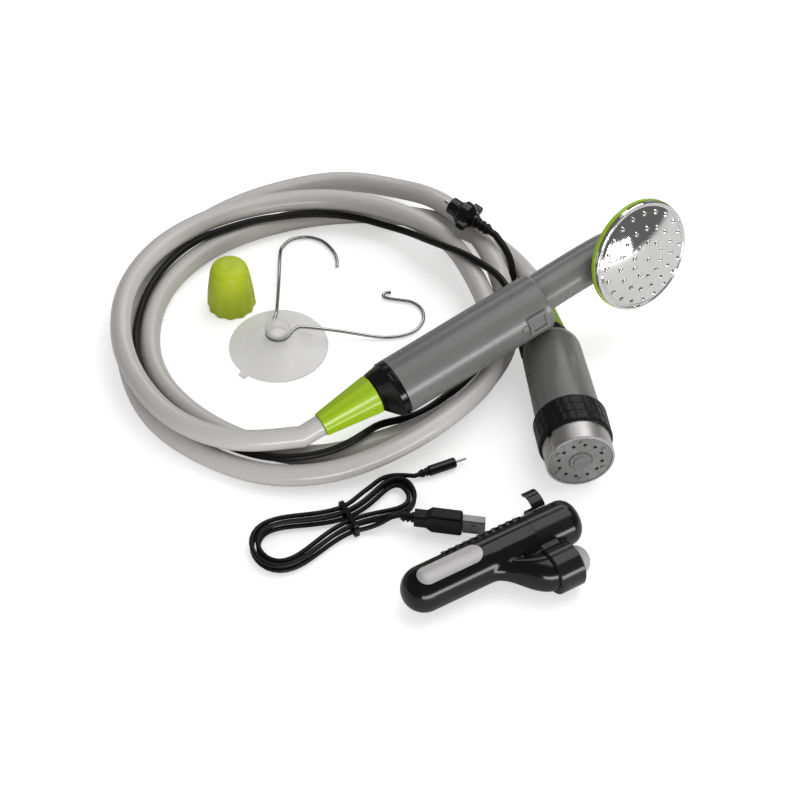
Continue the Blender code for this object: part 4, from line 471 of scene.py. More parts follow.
def turned(name, profile, home, finish=None, steps=ROUND_STEPS, at=(0.0, 0.0, 0.0), turn=(0.0, 0.0, 0.0)):
    """Turn a profile of (radius, height) pairs, outer side first from the top, about local Z."""
    mesh = bpy.data.meshes.new(name)
    edges = [(i, i + 1) for i in range(len(profile) - 1)]
    if profile[0][0] > 0.0:
        edges.append((len(profile) - 1, 0))
    mesh.from_pydata([(radius, 0.0, height) for radius, height in profile], edges, [])
    made = add_object(name, mesh, home, finish)
    made.location = at
    made.rotation_euler = turn
    screw = made.modifiers.new("Turn", "SCREW")
    screw.steps = screw.render_steps = steps
    screw.use_merge_vertices = True
    screw.merge_threshold = 0.000001
    screw.use_smooth_shade = False
    return made


def disc(name, radius, low, high, home, finish=None, steps=ROUND_STEPS, **place):
    profile = [(0.0, high), (radius, high), (radius, low), (0.0, low)]
    return turned(name, profile, home, finish, steps, **place)


def ring(name, outer, inner, low, high, home, finish):
    return turned(name, [(outer, high), (outer, low), (inner, low), (inner, high)], home, finish)


def block(name, size, centre, home, bevel=0.0, turn=(0.0, 0.0, 0.0)):
    build = bmesh.new()
    bmesh.ops.create_cube(build, size=1.0)
    bmesh.ops.scale(build, vec=Vector(size), verts=build.verts)
    made = add_build(name, build, home)
    made.location = centre
    made.rotation_euler = turn
    if bevel:
        edge = made.modifiers.new("Edge", "BEVEL")
        edge.width = bevel
        edge.segments = 3
        edge.limit_method = "ANGLE"
    return made


def loft(name, rings, home, finish=None, closed=False):
    """Skin a row of point rings of equal count; closed joins the last ring to the first."""
    build = bmesh.new()
    rows = [[build.verts.new(point) for point in row] for row in rings]
    count = len(rows[0])
    pairs = list(zip(rows, rows[1:]))
    if closed:
        pairs.append((rows[-1], rows[0]))
    for low, high in pairs:
        for i in range(count):
            j = (i + 1) % count
            build.faces.new((low[i], low[j], high[j], high[i]))
    if not closed:
        build.faces.new(list(reversed(rows[0])))
        build.faces.new(rows[-1])
    bmesh.ops.recalc_face_normals(build, faces=build.faces)
    return add_build(name, build, home, finish)


def circle(radius, height, count, centre_x=0.0):
    return [Vector((centre_x + radius * math.cos(a), radius * math.sin(a), height)) for a in around(count)]


def fluted_circle(radius, height, flutes, depth):
    """A circle whose edge swells and dips once for each flute, with FLUTE_POINTS points a flute."""
    return [polar(radius - depth * 0.5 * (1.0 - math.cos(flutes * angle)), angle, height)
            for angle in around(flutes * FLUTE_POINTS)]


def knurled_circle(radius, height, count, row):
    """A ring of points, with blocks standing out of it where row numbers a band of the knurl."""
    points = []
    for angle in around(count):
        wave = math.sin(GRIP_RIBS * 2 * angle + (row or 0) * 1.1)
        dip = 0.0 if row is None else KNURL_DEPTH * min(1.0, max(0.0, 0.5 - 2.2 * wave))
        points.append(polar(radius - dip, angle, height))
    return points


def rounded_rectangle(width, depth, corner, height):
    points = []
    for sign_x, sign_y, start in ((1, 1, 0.0), (-1, 1, 90.0), (-1, -1, 180.0), (1, -1, 270.0)):
        for angle in (math.radians(start + 11.25 * i) for i in range(9)):
            points.append(Vector((sign_x * (width / 2.0 - corner) + corner * math.cos(angle),
                                  sign_y * (depth / 2.0 - corner) + corner * math.sin(angle), height)))
    return points


def combine(target, tool, operation):
    change = target.modifiers.new(operation.title(), "BOOLEAN")
    change.operation = operation
    change.object = tool


def cut(target, tool):
    combine(target, tool, "DIFFERENCE")


def unite(target, tool):
    combine(target, tool, "UNION")


def cut_slots(target, size, radius, angles, height, home):
    """Cut a block out of the target at each angle, turned to face the axis."""
    for angle in angles:
        cut(target, block("cut_slot", size, polar(radius, angle, height), home, turn=(0.0, 0.0, angle)))


def pins(name, home, angles, at_radius, radii, low, high):
    """Upright pins round local Z, each with its lower and upper radius."""
    build = bmesh.new()
    for angle in angles:
        place = Matrix.Translation(polar(at_radius, angle, (low + high) / 2.0))
        bmesh.ops.create_cone(build, cap_ends=True, segments=20, radius1=radii[0], radius2=radii[1],
                              depth=high - low, matrix=place)
    return add_build(name, build, home)


def smooth_path(route, step):
    """Points every step along a Catmull-Rom curve through the route."""
    ends = [2.0 * route[0] - route[1]] + list(route) + [2.0 * route[-1] - route[-2]]
    fine = []
    for a, b, c, d in zip(ends, ends[1:], ends[2:], ends[3:]):
        for i in range(20):
            t = i / 20.0
            fine.append(0.5 * (
                2.0 * b + (c - a) * t + (2.0 * a - 5.0 * b + 4.0 * c - d) * t * t
                + (3.0 * b - a - 3.0 * c + d) * t ** 3
            ))
    fine.append(route[-1].copy())
    travelled = [0.0]
    for a, b in zip(fine, fine[1:]):
        travelled.append(travelled[-1] + (b - a).length)
    count = max(2, round(travelled[-1] / step))
    points = []
    at = 0
    for i in range(count + 1):
        wanted = travelled[-1] * i / count
        while at < len(fine) - 2 and travelled[at + 1] < wanted:
            at += 1
        part = (wanted - travelled[at]) / (travelled[at + 1] - travelled[at])
        points.append(fine[at].lerp(fine[at + 1], part))
    return points


def curved(profile):
    """A profile's (radius, height) points joined by a smooth line."""
    path = smooth_path([Vector((radius, height, 0.0)) for radius, height in profile], 0.0007)
    return [(max(0.0, point.x), point.y) for point in path]


def relaxed(points, passes=12):
    """Even out the bends of a cord, keeping both of its ends and their straight runs."""
    points = [point.copy() for point in points]
    for _ in range(passes):
        held = list(points)
        for i in range(3, len(points) - 3):
            points[i] = (held[i - 1] + 2.0 * held[i] + held[i + 1]) / 4.0
    return points


def tube(name, points, radius, home, finish, resolution):
    """A round bar or cord through points."""
    curve = bpy.data.curves.new(name, "CURVE")
    curve.dimensions = "3D"
    curve.bevel_depth = radius
    curve.bevel_resolution = resolution
    curve.use_fill_caps = True
    spline = curve.splines.new("POLY")
    spline.points.add(len(points) - 1)
    for slot, point in zip(spline.points, points):
        slot.co = (*point, 1.0)
    return add_object(name, curve, home, finish)


def cord(name, start, start_out, route, end_out, end, radius, step, finish, resolution):
    """A free cord that leaves both of its ends straight for one diameter along the given directions."""
    run = 2.0 * radius
    route = [kit_point([part / 1000.0 for part in point]) for point in route]
    points = smooth_path([start + run * start_out, *route, end + run * end_out], step)
    points = relaxed([start, *points, end])[1:-1]
    tube(name, [start, *points, end], radius, None, finish, resolution)


def hose_nut(name, home, start, away):
    """A soft-fluted conical nut from start towards away (+1 or -1) along local Z, over the barb."""
    end = start + away * NUT_LENGTH
    large = NUT_LARGE_RADIUS
    small = NUT_SMALL_RADIUS
    shape = ((0.0, large - 0.0006), (0.008, large - 0.0002), (0.02, large),
             (0.45, large - 0.42 * (large - small)),
             (0.97, small + 0.0003), (0.99, small), (1.0, small - 0.0003))
    outer = [fluted_circle(radius, start + (end - start) * part, NUT_FLUTES,
                           NUT_FLUTE_DEPTH * (1.0 if part else 0.6)) for part, radius in shape]
    count = NUT_FLUTES * FLUTE_POINTS
    bore = large - NUT_WALL - NUT_FLUTE_DEPTH
    inner = [circle(BARB_RIB_RADIUS + GAP, end, count), circle(bore, start + (end - start) * 0.12, count),
             circle(bore, start, count)]
    loft(name, outer + inner, home, GREEN_PLASTIC, closed=True)


def strain_relief(name, home, start, length, radius, waist, ribs):
    """A ribbed sleeve along local Z."""
    pitch = length / ribs
    profile = [(0.0, start + length)]
    for i in reversed(range(ribs)):
        low = start + pitch * i
        profile += [(radius, low + pitch), (radius, low + pitch * 0.45),
                    (waist, low + pitch * 0.4), (waist, low)]
    profile.append((0.0, start))
    turned(name, profile, home, BLACK_RUBBER, TINY_STEPS)


def make_handset():
    axis = heading(HANDSET_AZIMUTH, HANDSET_RISE)
    side = axis.cross(Vector((0.0, 0.0, 1.0))).normalized()
    above = side.cross(axis)
    roll = math.radians(HANDSET_ROLL)
    front = math.cos(roll) * side + math.sin(roll) * above
    home = axes("handset_frame", kit_point(HANDSET_SEAM), axis, front)
    inlet = empty("handset_inlet_axis", home, (-INLET_OFFSET, 0.0, 0.0))
    make_barrel(home)
    make_handset_inlet(home, inlet)
    make_spray_head(home)
    return inlet


def make_barrel(home):
    bore = BARREL_RADIUS - BARREL_WALL
    end = BARREL_LENGTH
    barrel = turned("handset_barrel", [
        (0.0, end), (BARREL_RADIUS - BARREL_EDGE, end), (BARREL_RADIUS, end - BARREL_EDGE),
        (BARREL_RADIUS, GAP), (bore, GAP), (bore, end - BARREL_END_WALL), (0.0, end - BARREL_END_WALL),
    ], home, GREY_PLASTIC)
    cut(barrel, disc("cut_tube_hole", WATER_TUBE_RADIUS + GAP, end - 2.0 * BARREL_END_WALL,
                     end + BARREL_END_WALL, home, steps=SMALL_STEPS, at=(-INLET_OFFSET, 0.0, 0.0)))
    lug_top = BARREL_RADIUS + LUG_HEIGHT
    lug_root = BARREL_RADIUS - BARREL_WALL * 0.5
    unite(barrel, block("add_lug", (lug_top - lug_root, LUG_WIDTH, LUG_LENGTH),
                        ((lug_top + lug_root) / 2.0, 0.0, LUG_POSITION), home, bevel=0.0004))
    recess = (LUG_RECESS_DEPTH * 2.0, LUG_WIDTH - 2.0 * LUG_FRAME, LUG_LENGTH - 2.0 * LUG_FRAME)
    cut(barrel, block("cut_lug_recess", recess, (lug_top, 0.0, LUG_POSITION), home))
    seat = (BARREL_RADIUS, 0.0, SCREW_POSITION)
    across = (0.0, math.radians(90.0), 0.0)
    cut(barrel, disc("cut_screw_pocket", SCREW_RADIUS + GAP, -SCREW_LENGTH - GAP, SCREW_LENGTH, home,
                     steps=TINY_STEPS, at=seat, turn=across))
    screw = disc("barrel_screw", SCREW_RADIUS, -SCREW_LENGTH, 0.0, home, STEEL, TINY_STEPS, at=seat,
                 turn=across)
    cut(screw, block("cut_screw_slot", (SCREW_SLOT, SCREW_RADIUS * 3.0, SCREW_SLOT), seat, home))


def make_handset_inlet(home, inlet):
    small = BARREL_RADIUS - INLET_OFFSET
    count = ROUND_STEPS
    collar = loft("handset_end_collar", [
        circle(small - 0.0006, -COLLAR_LENGTH, count, -INLET_OFFSET),
        circle(small, -COLLAR_LENGTH + 0.0008, count, -INLET_OFFSET),
        circle(BARREL_RADIUS - 0.0008, -COLLAR_BAND, count),
        circle(BARREL_RADIUS, -COLLAR_BAND + 0.0008, count),
        circle(BARREL_RADIUS, -BARREL_EDGE * 0.25, count),
        circle(BARREL_RADIUS - BARREL_EDGE * 0.25, 0.0, count),
    ], home, BLACK_PLASTIC)
    cut(collar, disc("cut_collar_bore", COLLAR_BORE, -COLLAR_LENGTH * 2.0, COLLAR_LENGTH, inlet,
                     steps=SMALL_STEPS))
    cut_slots(collar, (2.0 * COLLAR_SLOT_DEPTH, COLLAR_SLOT_LENGTH, COLLAR_SLOT_WIDTH), BARREL_RADIUS,
              around(COLLAR_SLOTS, 0.35), -COLLAR_BAND * 0.45, home)
    hose_nut("handset_hose_nut", inlet, -COLLAR_LENGTH - GAP, -1)


def plate_height(radius):
    """Height of the crowned spray plate above the rim plane at a radius."""
    return PLATE_RISE * (1.0 - (radius / (RIM_RADIUS - RIM_LIP)) ** 2)


def make_spray_head(home):
    tilt = math.radians(FACE_TILT)
    face = empty("spray_face_frame", home)
    outward = Vector((math.cos(tilt), 0.0, math.sin(tilt)))
    along = Vector((-math.sin(tilt), 0.0, math.cos(tilt)))
    face.matrix_local = placed(along, outward.cross(along), outward, (FACE_FORWARD, 0.0, FACE_ALONG))
    make_spray_plate(face)
    back = -RIM_THICKNESS - TRIM_THICKNESS
    ring("head_trim_ring", TRIM_RADIUS, TRIM_INNER, back + GAP, -RIM_THICKNESS - GAP, face, GREEN_PLASTIC)
    make_neck(home, face, back)


def make_spray_plate(face):
    edge = RIM_RADIUS - RIM_LIP
    crown = [0.94 * i / 16 for i in range(17)]
    outer = [(edge * part, plate_height(edge * part)) for part in crown]
    lip = [(edge - 0.0004, -0.0004), (edge + 0.0003, -0.0004), (edge + 0.0007, 0.0),
           (RIM_RADIUS - 0.0006, 0.0), (RIM_RADIUS, -0.0006), (RIM_RADIUS, -RIM_THICKNESS),
           (edge - PLATE_WALL, -RIM_THICKNESS)]
    inner = [(edge * part, plate_height(edge * part) - PLATE_WALL) for part in (0.93, 0.6, 0.0)]
    turned("spray_plate", outer + lip + inner, face, CHROME)
    nozzle = ((NOZZLE_BASE_RADIUS * 1.15, -0.0003), (NOZZLE_BASE_RADIUS * 1.05, 0.0),
              (NOZZLE_BASE_RADIUS * 0.9, 0.00025), (NOZZLE_TIP_RADIUS * 1.12, 0.0007),
              (NOZZLE_TIP_RADIUS * 0.95, NOZZLE_HEIGHT), (NOZZLE_TIP_RADIUS * 0.6, NOZZLE_HEIGHT),
              (NOZZLE_TIP_RADIUS * 0.5, NOZZLE_HEIGHT - 0.0001), (NOZZLE_TIP_RADIUS * 0.5, 0.0002))
    heads = bmesh.new()
    bore_shades = bmesh.new()
    spots = [(0.0, 0.0)] + [(radius, angle) for radius, count in NOZZLE_RINGS for angle in around(count)]
    for radius, angle in spots:
        slope = math.atan(2.0 * PLATE_RISE * radius / (RIM_RADIUS - RIM_LIP) ** 2)
        place = (Matrix.Rotation(angle, 4, "Z") @ Matrix.Translation((radius, 0.0, plate_height(radius)))
                 @ Matrix.Rotation(slope, 4, "Y"))
        rings = [[heads.verts.new(place @ point) for point in circle(reach, height, NOZZLE_SIDES)]
                 for reach, height in nozzle]
        for low, high in zip(rings, rings[1:]):
            for i in range(NOZZLE_SIDES):
                j = (i + 1) % NOZZLE_SIDES
                heads.faces.new((low[i], low[j], high[j], high[i]))
        # A flat black disc inside each nozzle's bore is painted shade: it stands in for the shade deep in the
        # hole.
        floor = circle(NOZZLE_TIP_RADIUS * 0.52, 0.0004, NOZZLE_SIDES)
        bore_shades.faces.new([bore_shades.verts.new(place @ point) for point in floor])
    add_build("spray_nozzles", heads, face, CHROME)
    add_build("spray_nozzle_bores", bore_shades, face, BLACK_RUBBER)


def make_neck(home, face, back):
    """Neck and bowl of the head as one moulding, open at the chamber behind the spray plate."""
    far = FACE_ALONG
    path = (
        (BARREL_LENGTH + GAP, -INLET_OFFSET, NECK_RADIUS),
        (BARREL_LENGTH + 0.016, -INLET_OFFSET - 0.0006, NECK_RADIUS),
        (far - 0.012, -INLET_OFFSET - 0.0008, NECK_RADIUS - 0.0003),
        (far - 0.001, -INLET_OFFSET + 0.0004, NECK_RADIUS - 0.0028),
        (far + 0.006, -INLET_OFFSET + 0.0034, NECK_RADIUS - 0.0062),
        (far + 0.009, -INLET_OFFSET + 0.0060, NECK_RADIUS - 0.0095),
    )
    path = [tuple(p) for p in smooth_path([Vector(p) for p in path], 0.0015)]
    neck = loft("handset_neck", [circle(radius, height, ROUND_STEPS, x) for height, x, radius in path],
                home, GREY_PLASTIC)
    deep = back - BOWL_DEPTH
    parts = (1.0, 0.985, 0.96, 0.92, 0.87, 0.81, 0.75, 0.66, 0.56, 0.45, 0.3, 0.15)
    profile = [(0.0, back + 0.002), (BOWL_RIM_RADIUS, back + 0.002), (BOWL_RIM_RADIUS, back - 0.0007)]
    profile += [(BOWL_RIM_RADIUS * part, back - 0.0007 - BOWL_DEPTH * (1.0 - part ** 1.4))
                for part in parts[1:]]
    profile.append((0.0, deep - 0.0007))
    unite(neck, turned("add_bowl", profile, face))
    cut(neck, block("cut_head_front", (0.09, 0.09, 0.05), (0.0, 0.0, back + 0.025), face))
    cut(neck, disc("cut_head_chamber", CHAMBER_RADIUS, back - CHAMBER_DEPTH, back + 0.01, face))
    inlet = (-INLET_OFFSET, 0.0, 0.0)
    cut(neck, disc("cut_neck_socket", WATER_TUBE_RADIUS + GAP, BARREL_LENGTH - 0.01,
                   BARREL_LENGTH + WATER_TUBE_INSERT + GAP, home, steps=SMALL_STEPS, at=inlet))
    cut(neck, disc("cut_neck_bore", WATER_TUBE_BORE, BARREL_LENGTH, far, home, steps=TINY_STEPS, at=inlet))
    floor = back - CHAMBER_DEPTH
    cut(neck, disc("cut_head_rise", HEAD_RISE_BORE, floor - 0.010, floor + 0.002, face, steps=32,
                   at=(-0.003, 0.0, 0.0)))


def make_pump():
    axis = heading(PUMP_AZIMUTH, -PUMP_DROP)
    right = axis.cross(Vector((0.0, 0.0, 1.0)))
    home = axes("pump_frame", kit_point(PUMP_FACE), axis, right)
    make_strainer(home)
    make_pump_housing(home)
    return home


def make_strainer(home):
    inner = INTAKE_COLLAR_RADIUS - INTAKE_COLLAR_WALL
    plate_back = PLATE_RECESS + PLATE_THICKNESS
    shelf = plate_back + GAP
    collar = turned("strainer_collar", [
        (INTAKE_COLLAR_RADIUS, INTAKE_COLLAR_LENGTH), (INTAKE_COLLAR_RADIUS, 0.0004),
        (INTAKE_COLLAR_RADIUS - 0.0004, 0.0), (inner, 0.0), (inner, shelf), (inner - INTAKE_SHELF, shelf),
        (inner - INTAKE_SHELF, shelf + 0.001), (inner, shelf + 0.0024), (inner, INTAKE_COLLAR_LENGTH),
    ], home, CHROME)
    cut_slots(collar, (2.0 * INTAKE_NOTCH_DEPTH, INTAKE_NOTCH_WIDTH, INTAKE_COLLAR_LENGTH * 2.2),
              INTAKE_COLLAR_RADIUS, [math.radians(INTAKE_NOTCH_ANGLE)], 0.0, home)
    plate = turned("intake_plate", [
        (inner - GAP, plate_back), (inner - GAP, PLATE_RECESS), (LENS_RADIUS + GAP, PLATE_RECESS),
        (LENS_RADIUS + GAP, plate_back),
    ], home, GREY_PLASTIC)
    studs = around(STUDS, 0.5 + STUD_TURN)
    cut(plate, pins("cut_intake_holes", home, around(INTAKE_HOLES, 0.3), INTAKE_HOLE_CIRCLE,
                    (INTAKE_HOLE_RADIUS, INTAKE_HOLE_RADIUS), -0.003, 0.005))
    cut(plate, pins("cut_stud_holes", home, studs, STUD_CIRCLE, (STUD_RADIUS, STUD_RADIUS), -0.003, 0.005))
    foot = ring("clear_foot_ring", STUD_CIRCLE + FOOT_RING_BAND, STUD_CIRCLE - FOOT_RING_BAND, shelf,
                shelf + FOOT_RING_THICKNESS, home, CLEAR_PLASTIC)
    unite(foot, pins("add_studs", home, studs, STUD_CIRCLE, (STUD_RADIUS * 0.85, STUD_RADIUS * 0.99),
                     PLATE_RECESS - STUD_HEIGHT, shelf + FOOT_RING_THICKNESS * 0.5))
    flange = LENS_RADIUS + LENS_FLANGE
    turned("centre_lens", [
        (0.0, shelf + FOOT_RING_THICKNESS), (flange, shelf + FOOT_RING_THICKNESS), (flange, shelf),
        (LENS_RADIUS, shelf), (LENS_RADIUS, PLATE_RECESS), (LENS_RADIUS * 0.94, -LENS_CROWN * 0.35),
        (LENS_RADIUS * 0.7, -LENS_CROWN * 0.4), (LENS_RADIUS * 0.6, -LENS_CROWN), (0.0, -LENS_CROWN),
    ], home, CLEAR_PLASTIC, steps=SMALL_STEPS)
    make_grip_ring(home, inner + GAP)


def make_grip_ring(home, lip):
    """The knurled ring: bands of blocks between smooth ends, over a lip of the given inner radius."""
    front = INTAKE_COLLAR_LENGTH + GAP
    end = front + GRIP_LENGTH
    count = GRIP_RIBS * 2 * FLUTE_POINTS
    band = (GRIP_LENGTH - 2.0 * GRIP_END - (GRIP_BANDS - 1) * GRIP_GROOVE) / GRIP_BANDS
    rows = [(front, -0.0007, None), (front + 0.0007, -0.0001, None), (front + GRIP_END, 0.0, None)]
    for i in range(GRIP_BANDS):
        low = front + GRIP_END + i * (band + GRIP_GROOVE)
        rows += [(low + 0.0001, 0.0, i), (low + band - 0.0001, 0.0, i),
                 (low + band + 0.0001, -GRIP_GROOVE, None), (low + band + 0.0003, -GRIP_GROOVE, None)]
    rows = rows[:-2] + [(end - GRIP_END, 0.0, None), (end - 0.0007, -0.0001, None), (end, -0.0007, None)]
    outer = [knurled_circle(GRIP_RADIUS + change, height, count, row) for height, change, row in rows]
    bore = HOUSING_LARGE_RADIUS + GAP
    loft("strainer_grip_ring", outer + [
        circle(bore, end, count), circle(bore, front + GRIP_LIP, count), circle(lip, front + GRIP_LIP, count),
        circle(lip, front, count),
    ], home, BLACK_RUBBER, closed=True)


def housing_radius(height):
    """Outer radius of the tapered part of the pump housing."""
    start = INTAKE_COLLAR_LENGTH + 2.0 * GAP + GRIP_LIP
    part = (height - start) / (HOUSING_SHOULDER_AT - start)
    return HOUSING_LARGE_RADIUS + part * (HOUSING_SHOULDER_RADIUS - HOUSING_LARGE_RADIUS)


def make_pump_housing(home):
    front = INTAKE_COLLAR_LENGTH + 2.0 * GAP + GRIP_LIP
    round_length = HOUSING_LENGTH - HOUSING_SHOULDER_AT
    drop = HOUSING_SHOULDER_RADIUS - HOUSING_NECK_RADIUS
    outer = [(0.0, HOUSING_LENGTH)]
    for i in range(19):
        angle = math.radians(90.0 - 5.0 * i)
        outer.append((HOUSING_NECK_RADIUS + drop * math.cos(angle),
                      HOUSING_SHOULDER_AT + round_length * math.sin(angle)))
    outer.append((HOUSING_LARGE_RADIUS, front))
    inside = HOUSING_LENGTH - HOUSING_END_WALL
    shoulder = HOUSING_SHOULDER_AT - 0.002
    bore_shoulder = HOUSING_SHOULDER_RADIUS - HOUSING_WALL
    stop = CHAMBER_PLATE_AT + CHAMBER_PLATE_THICKNESS + GAP
    bore_stop = housing_radius(stop) - HOUSING_WALL
    inner = [(housing_radius(front) - HOUSING_WALL, front), (bore_stop, stop), (bore_stop - 0.0012, stop),
             (bore_shoulder - 0.0006, shoulder), (HOUSING_NECK_RADIUS - 0.002, inside), (0.0, inside)]
    housing = turned("pump_housing", outer + inner, home, GREY_PLASTIC)
    cut(housing, disc("cut_outlet", BARB_SHANK_RADIUS + GAP, inside - 0.004, HOUSING_LENGTH + 0.004, home,
                      steps=SMALL_STEPS))
    beside = (-GLAND_OFFSET, 0.0, 0.0)
    seat = HOUSING_SHOULDER_AT + 0.0008
    cut(housing, disc("cut_gland_hole", GLAND_ROOT_RADIUS + GAP, seat, HOUSING_LENGTH + 0.01, home,
                      steps=TINY_STEPS, at=beside))
    turned("pump_cable_gland", [
        (0.0, GLAND_TIP_AT), (GLAND_TIP_RADIUS, GLAND_TIP_AT), (GLAND_ROOT_RADIUS, HOUSING_LENGTH),
        (GLAND_ROOT_RADIUS, seat + GAP), (0.0, seat + GAP),
    ], home, BLACK_RUBBER, TINY_STEPS, at=beside)
    cap_low = HOUSING_LENGTH + GAP
    cap_top = cap_low + TOP_CAP_LENGTH
    cap = turned("pump_top_cap", [
        (TOP_CAP_RADIUS - 0.0012, cap_top), (TOP_CAP_RADIUS, cap_top - 0.0012), (TOP_CAP_RADIUS, cap_low),
        (BARB_SHANK_RADIUS + GAP, cap_low), (BARB_SHANK_RADIUS + GAP, cap_top),
    ], home, BLACK_PLASTIC)
    cut_slots(cap, (2.0 * TOP_CAP_NOTCH_DEPTH, TOP_CAP_NOTCH_WIDTH, TOP_CAP_LENGTH * 0.9), TOP_CAP_RADIUS,
              around(TOP_CAP_NOTCHES, 0.5), cap_top, home)
    hose_nut("pump_hose_nut", home, cap_top + GAP, 1)


def pack_outline(offset):
    """Profile of the pack's round end below the label, grown by an offset, from high down to low."""
    high = LABEL_START + LABEL_LENGTH + LABEL_MARGIN
    radius = PACK_RADIUS + offset
    points = [(radius, high), (radius, 0.0)]
    for i in range(1, 25):
        angle = math.radians(3.75 * i)
        height = -PACK_RADIUS * math.sin(angle)
        if height <= LABEL_START - LABEL_MARGIN:
            break
        points.append((radius * math.cos(angle), height - offset * math.sin(angle)))
    return points


def pack_section(height, tube_radius, reach=None, radius=None, web=0.0, soft=0.0):
    """The tube, the bulge beside it and the web between them, joined by soft fillets, as one outline."""
    count = 40
    reach = tube_radius if reach is None else reach
    radius = tube_radius if radius is None else radius
    middle = reach - radius
    side = []
    for i in range(count - 1):
        y = reach * math.sin(0.5 * math.pi * i / (count - 1))
        over_tube = math.sqrt(max(0.0, tube_radius * tube_radius - y * y))
        over_bulge = math.sqrt(max(0.0, radius * radius - (y - middle) ** 2))
        joint = web * min(1.0, max(0.0, (middle - y) / 0.003))
        low, half = sorted((over_tube, over_bulge, joint))[1:]
        fillet = soft * min(1.0, (reach - y) / 0.004, y / 0.006)
        side.append((0.5 * (half + low + math.sqrt((half - low) ** 2 + fillet * fillet)), y))
    back = [(tube_radius * math.cos(0.5 * math.pi * i / (count - 1)),
             -tube_radius * math.sin(0.5 * math.pi * i / (count - 1)))
            for i in range(1, count - 1)]
    outline = side + [(0.0, reach)] + [(-x, y) for x, y in reversed(side)]
    outline += [(-x, y) for x, y in back] + [(0.0, -tube_radius)] + list(reversed(back))
    return [Vector((x, y, height)) for x, y in outline]


def make_pack():
    axis = heading(PACK_AZIMUTH)
    origin = kit_point((PACK_END_CENTRE[0], PACK_END_CENTRE[1], PACK_RADIUS))
    home = axes("pack_frame", origin, axis, (0.0, 0.0, 1.0))
    switch = empty("pack_switch_axis", home, (0.0, SWITCH_OFFSET, 0.0))
    make_pack_body(home)
    make_pack_head(home, switch)
    make_pack_trim(home)
    make_button_and_socket(home, switch)


def make_pack_body(home):
    seam = PACK_SEAM_AT
    # each row: how far before the seam, the bulge's reach and radius, the web's half height and the fillet
    rows = (
        (0.0000, 0.0344, 0.0102, 0.0050, 0.0030), (0.0040, 0.0338, 0.0102, 0.0050, 0.0030),
        (0.0080, 0.0321, 0.0098, 0.0048, 0.0030), (0.0120, 0.0289, 0.0090, 0.0044, 0.0030),
        (0.0155, 0.0250, 0.0080, 0.0038, 0.0030), (0.0190, 0.0206, 0.0070, 0.0030, 0.0028),
        (0.0225, 0.0170, 0.0064, 0.0020, 0.0024), (0.0260, 0.0144, 0.0066, 0.0012, 0.0016),
        (0.0300, 0.0129, 0.0078, 0.0006, 0.0006), (0.0350, 0.0125, 0.0100, 0.0002, 0.0001),
        (0.0420, 0.0125, 0.0120, 0.0, 0.0),
    )
    turns = [math.radians(88.0 - 4.0 * i) for i in range(22)]
    sections = [pack_section(-PACK_RADIUS * math.sin(a), PACK_RADIUS * math.cos(a)) for a in turns]
    sections += [pack_section(part * (seam - 0.042), PACK_RADIUS) for part in (0.0, 0.25, 0.5, 0.75)]
    for part in reversed(smooth_path([Vector(row) for row in rows], 0.0008)):
        before, reach, radius, web, soft = part
        sections.append(pack_section(seam - before, PACK_RADIUS, max(PACK_RADIUS, reach), radius, web, soft))
    body = loft("pack_body", sections, home, BLACK_PLASTIC)
    cut(body, disc("cut_cell_bore", CELL_RADIUS + GAP, CELL_START - GAP, seam + 0.01, home))
    build = bmesh.new()
    angle = math.radians(RIB_ANGLE)
    out = Vector((math.sin(angle), math.cos(angle), 0.0))
    turn = Matrix.Rotation(math.atan2(out.y, out.x), 4, "Z")
    depth = RIB_HEIGHT + 0.001
    for i in range(RIB_COUNT):
        at = out * (PACK_RADIUS - 0.001 + depth / 2.0) + Vector((0.0, 0.0, RIB_FIRST + RIB_PITCH * i))
        size = Matrix.Diagonal((depth, RIB_SPAN, RIB_WIDTH, 1.0))
        bmesh.ops.create_cube(build, size=1.0, matrix=Matrix.Translation(at) @ turn @ size)
    unite(body, add_build("add_grip_ribs", build, home))


def make_pack_head(home, switch):
    seam = PACK_SEAM_AT + GAP
    end = PACK_LENGTH
    edge = PACK_END_EDGE
    rounding = [(PACK_RADIUS - edge + edge * math.cos(a), end - edge + edge * math.sin(a))
                for a in (math.radians(90.0 - 5.0 * i) for i in range(19))]
    profile = [(0.0, end)] + rounding + [(PACK_RADIUS, seam), (0.0, seam)]
    head = turned("pack_head", profile, home, BLACK_PLASTIC)
    radius = SWITCH_COLLAR_RADIUS
    high = SWITCH_COLLAR_END
    low = seam - SWITCH_COLLAR_BACK
    chamfer = SWITCH_COLLAR_EDGE
    unite(head, turned("add_switch_collar", [
        (0.0, high), (radius - chamfer, high), (radius, high - chamfer), (radius, low + chamfer),
        (radius - chamfer, low), (0.0, low),
    ], switch))
    unite(head, block("add_head_web", (2.0 * WEB_HALF_HEIGHT, SWITCH_OFFSET, WEB_END - seam),
                      (0.0, SWITCH_OFFSET / 2.0, (seam + WEB_END) / 2.0), home))
    floor = high - BUTTON_SKIRT - BUTTON_TRAVEL - SWITCH_HEIGHT - 2.0 * GAP
    cut(head, disc("cut_button_pocket", BUTTON_RADIUS + GAP, floor, high + 0.01, switch, steps=SMALL_STEPS,
                   turn=(0.0, 0.0, math.radians(5.0))))
    cut(head, disc("cut_socket_seat", SOCKET_RADIUS + GAP, end - SOCKET_DEPTH - GAP, end + 0.01, home,
                   steps=SMALL_STEPS))
    make_clip(home)


